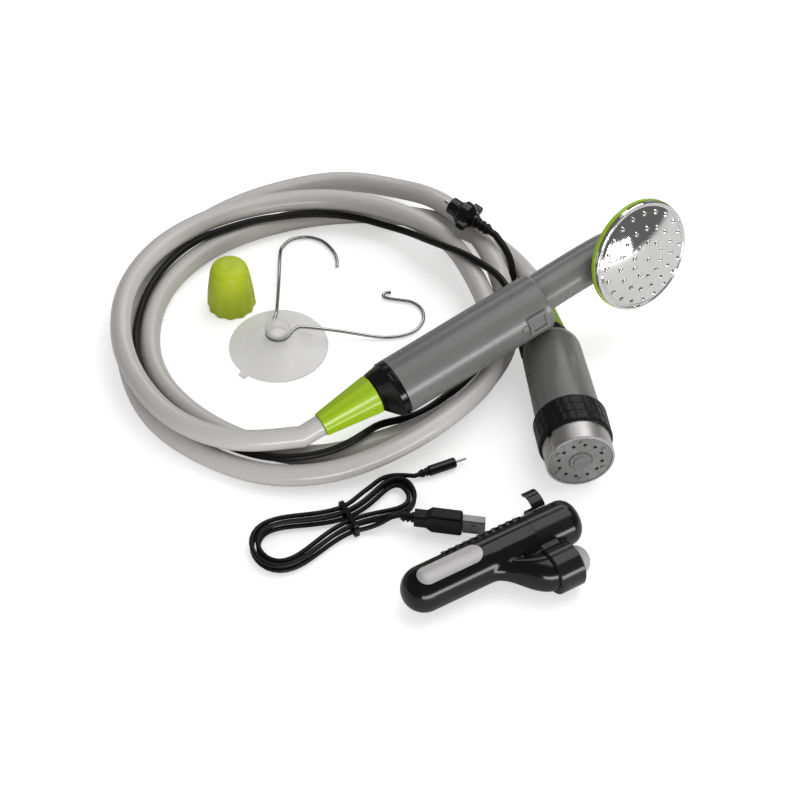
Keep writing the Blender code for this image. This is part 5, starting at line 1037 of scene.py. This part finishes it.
def make_clip(home):
    """The hanging clip: a tongue arched over the back of the tube, with a small tooth beside its root."""
    root_y = -PACK_RADIUS * 0.80
    root_x = PACK_RADIUS * 0.42
    half = CLIP_WIDTH / 2.0
    rows = []
    for angle in (math.radians(-20.0 + 5.0 * i) for i in range(36)):
        (out_x, out_y), (in_x, in_y) = (
            (root_x + reach * math.sin(angle) * 0.72, root_y - CLIP_RADIUS + reach * math.cos(angle))
            for reach in (CLIP_RADIUS, CLIP_RADIUS - CLIP_THICKNESS))
        rows.append([Vector((out_x, out_y, CLIP_AT - half)), Vector((out_x, out_y, CLIP_AT + half)),
                     Vector((in_x, in_y, CLIP_AT + half)), Vector((in_x, in_y, CLIP_AT - half))])
    clip = loft("hang_clip", rows, home, BLACK_PLASTIC)
    tooth = (root_x * 0.9, root_y - CLIP_TOOTH * 0.4, CLIP_AT - CLIP_WIDTH * 0.6)
    unite(clip, block("add_clip_tooth", (CLIP_TOOTH, CLIP_TOOTH * 1.3, CLIP_WIDTH), tooth, home,
                      bevel=0.0004))
    cut(clip, disc("cut_clip_seat", PACK_RADIUS + GAP, PACK_SEAM_AT - 0.02, PACK_LENGTH + 0.01, home))


def make_pack_trim(home):
    profile = pack_outline(GAP + LABEL_THICKNESS) + pack_outline(GAP)[::-1]
    label = turned("label_plate", profile, home, LABEL_SILVER)
    half = LABEL_WIDTH / 2.0
    low = LABEL_START + half
    high = LABEL_START + LABEL_LENGTH - half
    outline = []
    for centre, start in ((high, 0.0), (low, 180.0)):
        for i in range(33):
            angle = math.radians(start + 5.625 * i)
            outline.append((half * math.cos(angle), centre + half * math.sin(angle)))
    rows = [[Vector((x, y, z)) for y, z in outline] for x in (0.006, PACK_RADIUS * 1.4)]
    window = loft("keep_label_outline", rows, home)
    window.rotation_euler = (0.0, 0.0, math.radians(LABEL_TURN))
    combine(label, window, "INTERSECT")


def make_button_and_socket(home, switch):
    low = SWITCH_COLLAR_END - BUTTON_SKIRT
    top = SWITCH_COLLAR_END + BUTTON_HEIGHT
    dome = [(BUTTON_RADIUS * math.cos(a), SWITCH_COLLAR_END + 0.0008 + (BUTTON_HEIGHT - 0.0008) * math.sin(a))
            for a in (math.radians(85.0 - 5.0 * i) for i in range(18))]
    turned("power_button", [(0.0, top)] + dome + [(BUTTON_RADIUS, low), (0.0, low)], switch, BUTTON_GREY,
           steps=SMALL_STEPS)
    mouth = PACK_LENGTH
    deep = PACK_LENGTH - SOCKET_DEPTH
    turned("power_socket", [
        (SOCKET_RADIUS, mouth), (SOCKET_RADIUS, deep), (SOCKET_PIN_HOLE, deep),
        (SOCKET_PIN_HOLE, deep + SOCKET_FLOOR), (SOCKET_BORE, deep + SOCKET_FLOOR), (SOCKET_BORE, mouth),
    ], home, BLACK_PLASTIC, steps=SMALL_STEPS)


def make_hanger():
    home = axes("cup_frame", kit_point((*CUP_CENTRE, 0.0)), (0.0, 0.0, 1.0), (1.0, 0.0, 0.0))
    groove_top = WIRE_HEIGHT + WIRE_RADIUS + 0.0004
    groove_low = WIRE_HEIGHT - WIRE_RADIUS - 0.0004
    cup = turned("suction_cup", [
        (0.0, KNOB_TOP), (KNOB_RADIUS - 0.0009, KNOB_TOP - 0.0002), (KNOB_RADIUS, KNOB_TOP - 0.0011),
        (KNOB_RADIUS, groove_top + 0.0006), (KNOB_WAIST, groove_top), (KNOB_WAIST, groove_low),
        *curved([(0.0070, CUP_HEIGHT), (0.012, CUP_HEIGHT - 0.0014), (0.020, CUP_HEIGHT - 0.0050),
                 (0.026, 0.0015), (CUP_RADIUS, 0.0007)]), (CUP_RADIUS, 0.0),
        *curved([(CUP_RADIUS - 0.001, 0.0), (0.020, CUP_HEIGHT - 0.0050 - CUP_WALL),
                 (0.012, CUP_HEIGHT - 0.0014 - CUP_WALL * 1.4), (0.0, 0.0054)]),
    ], home, CLEAR_PLASTIC)
    angle = math.radians(CUP_TAB_ANGLE)
    reach = CUP_RADIUS + CUP_TAB_LENGTH / 2.0 - 0.001
    size = (CUP_TAB_LENGTH, CUP_TAB_WIDTH, 0.0007)
    unite(cup, block("add_pull_tab", size, polar(reach, angle, 0.00035), home, turn=(0.0, 0.0, angle)))
    path = smooth_path(hook_route(), 0.001)
    tube("hanger_hook", path, WIRE_RADIUS, home, STEEL, 4)


def hook_route():
    """Wire of the double hook in the cup's frame: one arm, the turn round the knob and the other arm."""
    floor = WIRE_RADIUS + 0.0004
    route = [(x, y, floor) for x, y in SHORT_HOOK]
    route += [(-0.0016, 0.0500, 0.0040), (-0.0014, 0.0280, 0.0085), (-0.0016, 0.0150, WIRE_HEIGHT),
              (-0.0032, 0.0092, WIRE_HEIGHT)]
    route += [polar(KNOB_WAIST + WIRE_RADIUS + 0.0009, math.radians(angle), WIRE_HEIGHT)
              for angle in (165, 200, 235, 270, 305, 335)]
    route += [(0.0078, 0.0006, WIRE_HEIGHT), (0.0102, 0.0034, WIRE_HEIGHT),
              (0.0150, 0.0050, WIRE_HEIGHT - 0.0006), (0.0350, 0.0062, 0.0060), (0.0560, 0.0055, 0.0020)]
    return [Vector(point) for point in route + [(x, y, floor) for x, y in LONG_HOOK]]


def make_spare_cap():
    home = axes("cap_frame", kit_point((*CAP_CENTRE, 0.0)), (0.0, 0.0, 1.0), (1.0, 0.0, 0.0))
    count = CAP_FLUTES * FLUTE_POINTS
    high = CAP_HEIGHT
    rows = (
        (0.0000, CAP_FOOT_RADIUS, CAP_FLUTE_DEPTH * 2.0),
        (high * 0.35, CAP_FOOT_RADIUS - 0.0008, CAP_FLUTE_DEPTH),
        (high * 0.62, CAP_FOOT_RADIUS - 0.0020, 0.0), (high * 0.84, CAP_TOP_RADIUS + 0.0006, 0.0),
        (high * 0.94, CAP_TOP_RADIUS - 0.0012, 0.0), (high, CAP_TOP_RADIUS - 0.0060, 0.0),
    )
    rows = [tuple(p) for p in smooth_path([Vector(p) for p in rows], 0.0008)]
    outer = [fluted_circle(radius, height, CAP_FLUTES, max(0.0, depth)) for height, radius, depth in rows]
    cap = loft("spare_cap", outer, home, CAP_GREEN)
    bore = CAP_FOOT_RADIUS - CAP_FLUTE_DEPTH * 2.0 - CAP_WALL
    cut(cap, turned("cut_cap_hollow", [
        (0.0, high - 0.0032), (CAP_TOP_RADIUS - 0.0040, high - 0.0036),
        (CAP_TOP_RADIUS - CAP_WALL - 0.0004, high - 0.0068), (bore, high * 0.45), (bore, -0.002),
        (0.0, -0.002),
    ], home, steps=SMALL_STEPS * 2))


def make_connector():
    level = Vector((0.0, 0.0, 1.0)).cross(Vector(CONNECTOR_AIM))
    home = axes("connector_frame", kit_point(CONNECTOR_END), CONNECTOR_AIM, level)
    strain_relief("connector_strain_relief", home, GAP, RELIEF_LENGTH - GAP, RELIEF_RADIUS, RELIEF_WAIST,
                  RELIEF_RIBS)
    low = RELIEF_LENGTH + GAP
    nose = CONNECTOR_NOSE_AT
    nose_end = nose + CONNECTOR_NOSE_LENGTH
    nut_low = CONNECTOR_NUT_START
    turned("connector_body", [
        (0.0, nose_end), (CONNECTOR_NOSE_RADIUS - 0.0005, nose_end),
        (CONNECTOR_NOSE_RADIUS, nose_end - 0.0005), (CONNECTOR_NOSE_RADIUS, nose),
        (CONNECTOR_CORE_RADIUS, nose), (CONNECTOR_CORE_RADIUS, low), (0.0, low),
    ], home, BLACK_PLASTIC, steps=SMALL_STEPS)
    disc("connector_pin", PIN_RADIUS, nose_end + GAP, nose_end + GAP + PIN_LENGTH, home, STEEL,
         steps=TINY_STEPS)
    hole = CONNECTOR_CORE_RADIUS + GAP
    nut_high = nut_low + CONNECTOR_NUT_LENGTH
    nut = turned("connector_nut", [
        (CONNECTOR_NUT_RADIUS - 0.0008, nut_high), (CONNECTOR_NUT_RADIUS, nut_high - 0.0008),
        (CONNECTOR_NUT_RADIUS, nut_low + 0.0035), (CONNECTOR_NUT_RADIUS - 0.0022, nut_low), (hole, nut_low),
        (hole, nut_high),
    ], home, BLACK_PLASTIC, steps=SMALL_STEPS)
    for side in (-1.0, 1.0):
        inner = CONNECTOR_CORE_RADIUS + 0.0016
        middle = (side * (inner + CONNECTOR_WING_REACH) / 2.0, 0.0, nut_low + CONNECTOR_WING_LENGTH / 2.0)
        size = (CONNECTOR_WING_REACH - inner, CONNECTOR_WING_WIDTH, CONNECTOR_WING_LENGTH)
        unite(nut, block("add_wing", size, middle, home, bevel=0.0008))
    return home


def hank_point(turns):
    """A point of the charging cable's hank after a number of turns from its waist, in its own frame."""
    angle = 2.0 * math.pi * (turns + 0.25)

    def base(a):
        right = 0.5 + 0.5 * math.cos(a)
        reach = HANK_LEFT_REACH + (HANK_RIGHT_REACH - HANK_LEFT_REACH) * right
        bulb = HANK_LEFT_BULB + (HANK_RIGHT_BULB - HANK_LEFT_BULB) * right
        along = reach * math.cos(a)
        across = math.sin(a) * (HANK_WAIST + bulb * math.cos(a) ** 2)
        return Vector((along, across, 0.0))

    tangent = (base(angle + 0.001) - base(angle - 0.001)).normalized()
    outward = Vector((tangent.y, -tangent.x, 0.0))
    middle = HANK_TURNS / 2.0
    point = base(angle) + outward * abs(turns - middle) * HANK_STEP
    if point.x > 0.0:
        point.y += HANK_BEND * point.x ** 2
    climb = min(1.0, max(0.0, (turns - middle + HANK_CLIMB_FROM / 2.0) / HANK_CLIMB_FROM))
    climb = climb * climb * (3.0 - 2.0 * climb)
    point.z = HANK_LOW + HANK_STEP * (1.0 - climb)
    return point


def make_usb_cable():
    """One unbroken cable: from the round plug, through the hank's loops, to the flat plug."""
    home = axes("hank_frame", kit_point((*HANK_CENTRE, 0.0)), (0.0, 0.0, 1.0), heading(HANK_AZIMUTH))
    count = round(HANK_TURNS * HANK_POINTS_PER_LOOP)
    loops = [hank_point(HANK_TURNS * i / count) for i in range(count + 1)]
    usb = make_usb_plug()
    plug = make_dc_plug()
    bpy.context.view_layer.update()
    inward = home.matrix_world.inverted()
    dc_tail = plug_tail(inward, plug, DC_TAIL_ROUTE, loops[0])
    usb_tail = plug_tail(inward, usb, USB_TAIL_ROUTE, loops[-1])
    points = dc_tail[:-1] + loops + list(reversed(usb_tail))[1:]
    tube("usb_cable", points, USB_CABLE_RADIUS, home, BLACK_RUBBER, 4)
    make_tie(home)


def plug_tail(inward, plug, route, loop_end):
    """Points from a plug's sleeve, straight for one diameter, along the route to an end of the loops."""
    place = inward @ plug.matrix_world
    out = -place.to_3x3().col[2].normalized()
    sleeve = place.translation + GAP * out
    path = smooth_path([sleeve + 2.0 * USB_CABLE_RADIUS * out, *map(Vector, route), loop_end], USB_CABLE_STEP)
    return [sleeve] + path


def make_tie(home):
    """A thin strap round the waist of the hank."""
    half = HANK_WAIST + HANK_STEP * HANK_TURNS / 2.0 + USB_CABLE_RADIUS + 3.0 * GAP + TIE_RADIUS
    low = HANK_LOW - USB_CABLE_RADIUS - GAP - 2.0 * TIE_RADIUS
    high = HANK_LOW + HANK_STEP + USB_CABLE_RADIUS + GAP + 2.0 * TIE_RADIUS
    outer = rounded_rectangle(2.0 * (half + TIE_RADIUS), high - low, 0.0020, 0.0)
    inner = rounded_rectangle(2.0 * (half - TIE_RADIUS), high - low - 4.0 * TIE_RADIUS, 0.0012, 0.0)
    rows = [[Vector((side * TIE_WIDTH / 2.0, p.x, p.y + (low + high) / 2.0)) for p in outline]
            for side, outline in ((-1.0, outer), (1.0, outer), (1.0, inner), (-1.0, inner))]
    loft("cable_tie", rows, home, BLACK_PLASTIC, closed=True)


def spring_windows(shell, low, home):
    """The two small square windows in each broad face of the plug's shell."""
    for across in (-WINDOW_OFFSET, WINDOW_OFFSET):
        cut(shell, block("cut_spring_window", (WINDOW_SIZE, USB_SHELL_THICKNESS * 2.0, WINDOW_SIZE),
                         (across, 0.0, low + WINDOW_AT), home))


def make_usb_plug():
    roll = math.radians(USB_ROLL)
    height = (USB_BODY_WIDTH / 2.0 * math.cos(roll) + USB_BODY_THICKNESS / 2.0 * math.sin(roll)) + GAP
    axis = heading(USB_AZIMUTH)
    back = Vector((0.0, 0.0, 1.0)).cross(axis).normalized()
    broad = math.cos(roll) * Vector((0.0, 0.0, 1.0)) - math.sin(roll) * back
    home = axes("usb_frame", kit_point((*USB_START, height)), axis, broad)
    strain_relief("usb_strain_relief", home, 0.0, USB_RELIEF_LENGTH, USB_RELIEF_RADIUS, USB_RELIEF_WAIST,
                  USB_RELIEF_RIBS)
    low = USB_RELIEF_LENGTH + GAP
    tail = low + USB_TAIL_LENGTH
    high = low + USB_BODY_LENGTH
    rows = (
        (low, USB_TAIL_WIDTH, USB_TAIL_THICKNESS), (tail, USB_TAIL_WIDTH, USB_TAIL_THICKNESS),
        (tail + 0.003, USB_BODY_WIDTH, USB_BODY_THICKNESS),
        (high - 0.0008, USB_BODY_WIDTH, USB_BODY_THICKNESS),
        (high, USB_BODY_WIDTH - 0.0014, USB_BODY_THICKNESS - 0.0014),
    )
    loft("usb_plug_body", [rounded_rectangle(width, depth, USB_BODY_CORNER, z) for z, width, depth in rows],
         home, BLACK_RUBBER)
    shell_low = high + GAP
    shell_high = shell_low + USB_SHELL_LENGTH
    wall = USB_SHELL_WALL
    open_width = USB_SHELL_WIDTH - 2.0 * wall
    open_depth = USB_SHELL_THICKNESS - 2.0 * wall
    shell = loft("usb_plug_shell", [
        rounded_rectangle(USB_SHELL_WIDTH, USB_SHELL_THICKNESS, 0.0006, shell_low),
        rounded_rectangle(USB_SHELL_WIDTH, USB_SHELL_THICKNESS, 0.0006, shell_high),
        rounded_rectangle(open_width, open_depth, 0.0003, shell_high),
        rounded_rectangle(open_width, open_depth, 0.0003, shell_low),
    ], home, STEEL, closed=True)
    spring_windows(shell, shell_low, home)
    return home


def make_dc_plug():
    home = axes("dc_plug_frame", kit_point((*DC_START, DC_HEIGHT)), heading(DC_AZIMUTH), (0.0, 0.0, 1.0))
    strain_relief("dc_strain_relief", home, 0.0, DC_RELIEF_LENGTH, DC_RELIEF_RADIUS,
                  DC_RELIEF_RADIUS - 0.0005, 2)
    low = DC_RELIEF_LENGTH + GAP
    high = low + DC_BODY_LENGTH
    turned("dc_plug_body", [
        (0.0, high), (DC_BODY_RADIUS - 0.0004, high), (DC_BODY_RADIUS, high - 0.0004),
        (DC_BODY_RADIUS, low + 0.0004), (DC_BODY_RADIUS - 0.0004, low), (0.0, low),
    ], home, BLACK_PLASTIC, steps=TINY_STEPS)
    disc("dc_plug_pin", DC_PIN_RADIUS, high + GAP, high + GAP + DC_PIN_LENGTH, home, STEEL, steps=32)
    return home


def make_cords(inlet, pump, connector):
    """The water hose and the pump's power cord along their laid-out routes."""
    bpy.context.view_layer.update()
    nut_far = -COLLAR_LENGTH - GAP - NUT_LENGTH
    start = inlet.matrix_world @ Vector((0.0, 0.0, nut_far - GAP))
    start_out = -inlet.matrix_world.to_3x3().col[2].normalized()
    cap_top = HOUSING_LENGTH + GAP + TOP_CAP_LENGTH
    end = pump.matrix_world @ Vector((0.0, 0.0, cap_top + 2.0 * GAP + NUT_LENGTH))
    end_out = pump.matrix_world.to_3x3().col[2].normalized()
    cord("shower_hose", start, start_out, HOSE_ROUTE, end_out, end, HOSE_RADIUS, HOSE_STEP, HOSE_GREY, 7)
    gland = pump.matrix_world @ Vector((-GLAND_OFFSET, 0.0, GLAND_TIP_AT + GAP))
    relief = connector.matrix_world.translation
    relief_out = -connector.matrix_world.to_3x3().col[2].normalized()
    cord("power_cord", gland, end_out, CORD_ROUTE, relief_out, relief, CORD_RADIUS, CORD_STEP, BLACK_RUBBER,
         5)


class Surface:
    """A Principled material and the steps that its looks are built from."""

    def __init__(self, name):
        self.material = bpy.data.materials.new(name)
        self.material.use_nodes = True
        self.nodes = self.material.node_tree.nodes
        self.links = self.material.node_tree.links
        self.shader = self.nodes["Principled BSDF"]
        self.place = self.nodes.new("ShaderNodeTexCoord").outputs["Object"]

    def fill(self, node, values):
        """Set each named input of a node to its value, or link it to its socket."""
        for name, value in values.items():
            if isinstance(value, bpy.types.NodeSocket):
                self.links.new(value, node.inputs[name])
            else:
                node.inputs[name].default_value = value
        return node.outputs

    def step(self, kind, values):
        return self.fill(self.nodes.new("ShaderNode" + kind), values)

    def noise(self, scale, detail=3.0, stretch=None):
        place = self.place
        if stretch:
            place = self.step("Mapping", {"Vector": place, "Scale": stretch})["Vector"]
        return self.step("TexNoise", {"Vector": place, "Scale": scale, "Detail": detail})["Fac"]

    def spread(self, source, low, high, from_low=0.3, from_high=0.7):
        return self.step("MapRange", {"Value": source, "From Min": from_low, "From Max": from_high,
                                      "To Min": low, "To Max": high})["Result"]

    def edges(self, high, from_low, from_high):
        """How far the surface is an outer edge, as a share up to high."""
        geometry = self.nodes.new("ShaderNodeNewGeometry")
        return self.spread(geometry.outputs["Pointiness"], 0.0, high, from_low, from_high)

    def blended(self, factor, first, second):
        """Mix two colours, either of which may be a socket."""
        mix = self.nodes.new("ShaderNodeMix")
        mix.data_type = "RGBA"
        colours = [(*colour, 1.0) if isinstance(colour, tuple) else colour for colour in (first, second)]
        return self.fill(mix, {"Factor": factor, 6: colours[0], 7: colours[1]})[2]

    def finished(self, values, height, strength, distance):
        """Fill the shader, with a bump of the given height, and hand the material over."""
        bump = self.step("Bump", {"Strength": strength, "Distance": distance, "Height": height})
        self.fill(self.shader, {**values, "Normal": bump["Normal"]})
        return self.material


def toned(colour, by):
    return tuple(min(1.0, part * by) for part in colour)


def finish_material(name, colour, rough, grain=1400.0, bump=0.25, shade=0.05, wear=0.25, metal=0.0, coat=0.0,
                    stretch=None, specular=0.5):
    """A moulded or drawn surface: fine grain, cloudy tone and gloss, and paler worn edges."""
    surface = Surface(name)
    fine = surface.noise(grain, 2.0, stretch)
    clouds = surface.spread(surface.noise(55.0), 0.0, 1.0)
    tone = surface.blended(clouds, toned(colour, 1.0 - shade), toned(colour, 1.0 + shade))
    tone = surface.blended(surface.spread(fine, 0.0, 0.35, 0.45, 0.75), tone,
                           toned(colour, 1.0 - 1.6 * shade))
    worn = tuple(part * 0.7 + 0.2 for part in colour)
    return surface.finished({
        "Base Color": surface.blended(surface.edges(wear, 0.53, 0.62), tone, worn),
        "Roughness": surface.spread(surface.noise(160.0, 5.0), rough * 0.9, min(1.0, rough * 1.12), 0.2, 0.8),
        "Metallic": metal, "Specular IOR Level": specular, "Coat Weight": coat, "Coat Roughness": 0.12,
    }, fine, bump, 0.0001)


def clear_material(name, dark, pale, thin, thick):
    """Soft clear plastic: faint in the middle of a face and denser where the surface turns away, with a
    painted dark rim line along its edges.
    """
    surface = Surface(name)
    tone = surface.blended(surface.spread(surface.noise(90.0), 0.0, 1.0), dark, pale)
    facing = surface.step("LayerWeight", {"Blend": 0.35})["Facing"]
    return surface.finished({
        # The base colour darkens at outer edges: a painted dark rim line, standing in for the shade along the
        # clear plastic's edges.
        "Base Color": surface.blended(surface.edges(0.75, 0.52, 0.6), tone, toned(dark, 0.45)),
        "Roughness": surface.spread(surface.noise(220.0, 4.0), 0.06, 0.18),
        "Alpha": surface.spread(facing, thin, thick, 0.0, 0.9),
    }, surface.noise(400.0), 0.2, 0.0002)


def make_materials():
    plain = finish_material
    clear = clear_material
    return {
        GREY_PLASTIC: plain("grey_satin_plastic", (0.155, 0.154, 0.152), 0.28, bump=0.12, shade=0.03,
                            specular=0.6),
        BLACK_PLASTIC: plain("black_gloss_plastic", (0.004, 0.004, 0.004), 0.16, bump=0.05, wear=0.03,
                             specular=0.4),
        BLACK_RUBBER: plain("black_matt_rubber", (0.005, 0.005, 0.0048), 0.36, 1800.0, 0.2, wear=0.02,
                            specular=0.25),
        GREEN_PLASTIC: plain("green_gloss_plastic", (0.37, 0.56, 0.012), 0.28, shade=0.04, coat=0.2),
        CAP_GREEN: plain("green_soft_plastic", (0.5, 0.62, 0.013), 0.45, shade=0.04),
        CHROME: plain("chrome_plate", (0.78, 0.775, 0.77), 0.06, 2200.0, 0.01, 0.02, 0.0, metal=1.0),
        "satin_chrome": plain("satin_chrome_plate", (0.56, 0.55, 0.545), 0.4, 1800.0, 0.08, 0.03, 0.1,
                              metal=1.0),
        # Dark satin steel, also used as painted shade on the barrel screw in its pocket
        "satin_steel_and_recess_shade": plain("satin_steel_and_recess_shade", (0.27, 0.27, 0.27), 0.42, 1800.0, 0.1, 0.05, 0.1, metal=1.0),
        STEEL: plain("drawn_steel", (0.45, 0.45, 0.45), 0.2, 1500.0, 0.1, 0.06, 0.1, metal=1.0,
                     stretch=(1.0, 0.08, 1.0)),
        HOSE_GREY: plain("hose_grey_vinyl", (0.57, 0.548, 0.536), 0.24, 700.0, 0.08, 0.012, 0.0, coat=0.2),
        CLEAR_PLASTIC: clear("clear_soft_plastic", (0.80, 0.785, 0.77), (0.86, 0.85, 0.835), 0.3, 0.9),
        # Darker grey copies of the clear plastic: painted shade of the hollow behind the lens and the studs
        "lens_painted_shade_clear": clear("lens_painted_shade_clear_plastic", (0.19, 0.19, 0.19), (0.26, 0.26, 0.255), 0.6, 0.9),
        "stud_painted_shade_clear": clear("stud_painted_shade_clear_plastic", (0.42, 0.42, 0.42), (0.52, 0.52, 0.515), 0.3, 0.9),
        BUTTON_GREY: plain("grey_soft_rubber", (0.36, 0.355, 0.35), 0.5, 1600.0, 0.35),
        LABEL_SILVER: plain("silver_label_film", (0.44, 0.43, 0.43), 0.34, 1500.0, 0.15, 0.05, 0.2,
                            metal=0.25, stretch=(0.15, 1.0, 1.0)),
        WHITE_PLASTIC: plain("white_plain_plastic", (0.7, 0.7, 0.69), 0.35),
        CELL_BLUE: plain("blue_cell_film", (0.05, 0.15, 0.4), 0.3, coat=0.3),
        BOARD_GREEN: plain("green_board_lacquer", (0.02, 0.2, 0.06), 0.35, 900.0, 0.4, 0.2),
    }


def dress(source, bodies, materials):
    """Bake one built piece, in place, as the finer piece that stands for its node."""
    node = source["node"]
    finish = source["finish"]
    plain_mesh = source.type == "MESH" and node not in EXTRA_BODY
    if node in CORDS:
        data = source.data.copy()
        data.transform(source.matrix_world)
    else:
        if plain_mesh:
            edge = source.modifiers.new("Edge", "BEVEL")
            edge.width = SOFT_EDGE
            edge.segments = 2
            edge.limit_method = "ANGLE"
            edge.angle_limit = math.radians(SOFT_EDGE_FROM)
            source.data.shade_smooth()
            source.data.set_sharp_from_angle(angle=math.radians(SHARP_FROM))
            even = source.modifiers.new("Even", "WEIGHTED_NORMAL")
            even.keep_sharp = True
        depsgraph = bpy.context.evaluated_depsgraph_get()
        data = bpy.data.meshes.new_from_object(source.evaluated_get(depsgraph))
        data.transform(source.matrix_world)
        if not plain_mesh:
            data.shade_smooth()
    data.materials.clear()
    data.materials.append(materials[OTHER_FINISH.get(node, finish)])
    made = bpy.data.objects.new(node + "_look", data)
    DRESSED.objects.link(made)
    if node in EXTRA_BODY:
        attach(made, EXTRA_BODY[node])
    else:
        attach(made, bodies[node])
        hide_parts(node)
    return made


def math_step(tree, operation, *values):
    """A math node whose inputs are numbers or sockets."""
    step = tree.nodes.new("ShaderNodeMath")
    step.operation = operation
    for socket, value in zip(step.inputs, values):
        if isinstance(value, float):
            socket.default_value = value
        else:
            tree.links.new(value, socket)
    return step.outputs[0]


def make_stage():
    """A pale floor that the camera sees as white, with the soft shadows on it."""
    floor = bpy.data.meshes.new("studio_floor")
    corners = [(4.0 * x, 4.0 * y, -0.0002) for x, y in ((-1, -1), (1, -1), (1, 1), (-1, 1))]
    floor.from_pydata(corners, [], [(0, 1, 2, 3)])
    made = bpy.data.objects.new("studio_floor", floor)
    bpy.context.scene.collection.objects.link(made)
    material = bpy.data.materials.new("studio_floor")
    material.use_nodes = True
    tree = material.node_tree
    rays = tree.nodes.new("ShaderNodeLightPath").outputs
    seen = math_step(tree, "MAXIMUM", rays["Is Camera Ray"], rays["Is Transmission Ray"])
    shader = tree.nodes["Principled BSDF"].inputs
    shader["Base Color"].default_value = (0.86, 0.86, 0.86, 1.0)
    shader["Roughness"].default_value = 0.9
    shader["Specular IOR Level"].default_value = 0.1
    shader["Emission Color"].default_value = (1.0, 1.0, 1.0, 1.0)
    tree.links.new(math_step(tree, "MULTIPLY", seen, 0.5), shader["Emission Strength"])
    floor.materials.append(material)


def make_light():
    """A white world, dimmer in reflections, and three area lights."""
    world = bpy.data.worlds.new("studio")
    bpy.context.scene.world = world
    world.use_nodes = True
    tree = world.node_tree
    back = tree.nodes["Background"].inputs
    back["Color"].default_value = (1.0, 1.0, 1.0, 1.0)
    rays = tree.nodes.new("ShaderNodeLightPath").outputs
    seen = math_step(tree, "MAXIMUM", rays["Is Camera Ray"], rays["Is Transmission Ray"])
    shine = math_step(tree, "MULTIPLY_ADD", rays["Is Glossy Ray"], -0.24, 0.38)
    tree.links.new(math_step(tree, "MAXIMUM", seen, shine), back["Strength"])
    for name, place, size, energy in (("key_light", (0.4, 0.35, 1.15), (1.0, 1.0), 6.0),
                                      ("front_light", (0.5, -1.05, 0.17), (1.5, 0.26), 11.5),
                                      ("back_light", (0.1, 1.1, 0.8), (1.2, 0.4), 3.0)):
        data = bpy.data.lights.new(name, "AREA")
        data.shape = "RECTANGLE"
        data.size, data.size_y = size
        data.energy = energy
        lamp = bpy.data.objects.new(name, data)
        lamp.location = place
        lamp.rotation_euler = (-Vector(place)).to_track_quat("-Z", "Y").to_euler()
        bpy.context.scene.collection.objects.link(lamp)


def make_camera():
    data = bpy.data.cameras.new("camera")
    data.lens = 100.0
    data.sensor_width = 36.0
    data.clip_start = 0.01
    data.clip_end = 50.0
    camera = bpy.data.objects.new("camera", data)
    rise = math.radians(CAMERA_RISE)
    camera.location = (-KIT_CENTRE_X, -KIT_CENTRE_Y - CAMERA_DISTANCE * math.cos(rise),
                       CAMERA_DISTANCE * math.sin(rise))
    camera.rotation_euler = (math.radians(90.0 - CAMERA_RISE), 0.0, 0.0)
    bpy.context.scene.collection.objects.link(camera)
    bpy.context.scene.camera = camera


make_camera()
PARTS = collection("building")
CUTTERS = collection("cutters")
DRESSED = collection("dressed")
handset_inlet = make_handset()
pump_frame = make_pump()
make_pack()
make_hanger()
make_spare_cap()
connector_frame = make_connector()
bpy.context.view_layer.update()
make_usb_cable()
make_cords(handset_inlet, pump_frame, connector_frame)
bpy.context.view_layer.update()

MATERIALS = make_materials()
BODIES = {node: body for body, members in frame["record"]["behaviour"]["bodies"].items() for node in members}
for built in list(PARTS.objects):
    if built.type in ("MESH", "CURVE"):
        dress(built, BODIES, MATERIALS)
for group in (PARTS, CUTTERS):
    for built in list(group.objects):
        bpy.data.objects.remove(built, do_unlink=True)
    bpy.data.collections.remove(group)
for node, finish in INSIDE.items():
    solid = frame["nodes"][node].data
    solid.materials.clear()
    solid.materials.append(MATERIALS[finish])
make_stage()
make_light()
bpy.context.scene.view_settings.view_transform = "Standard"
bpy.context.view_layer.update()
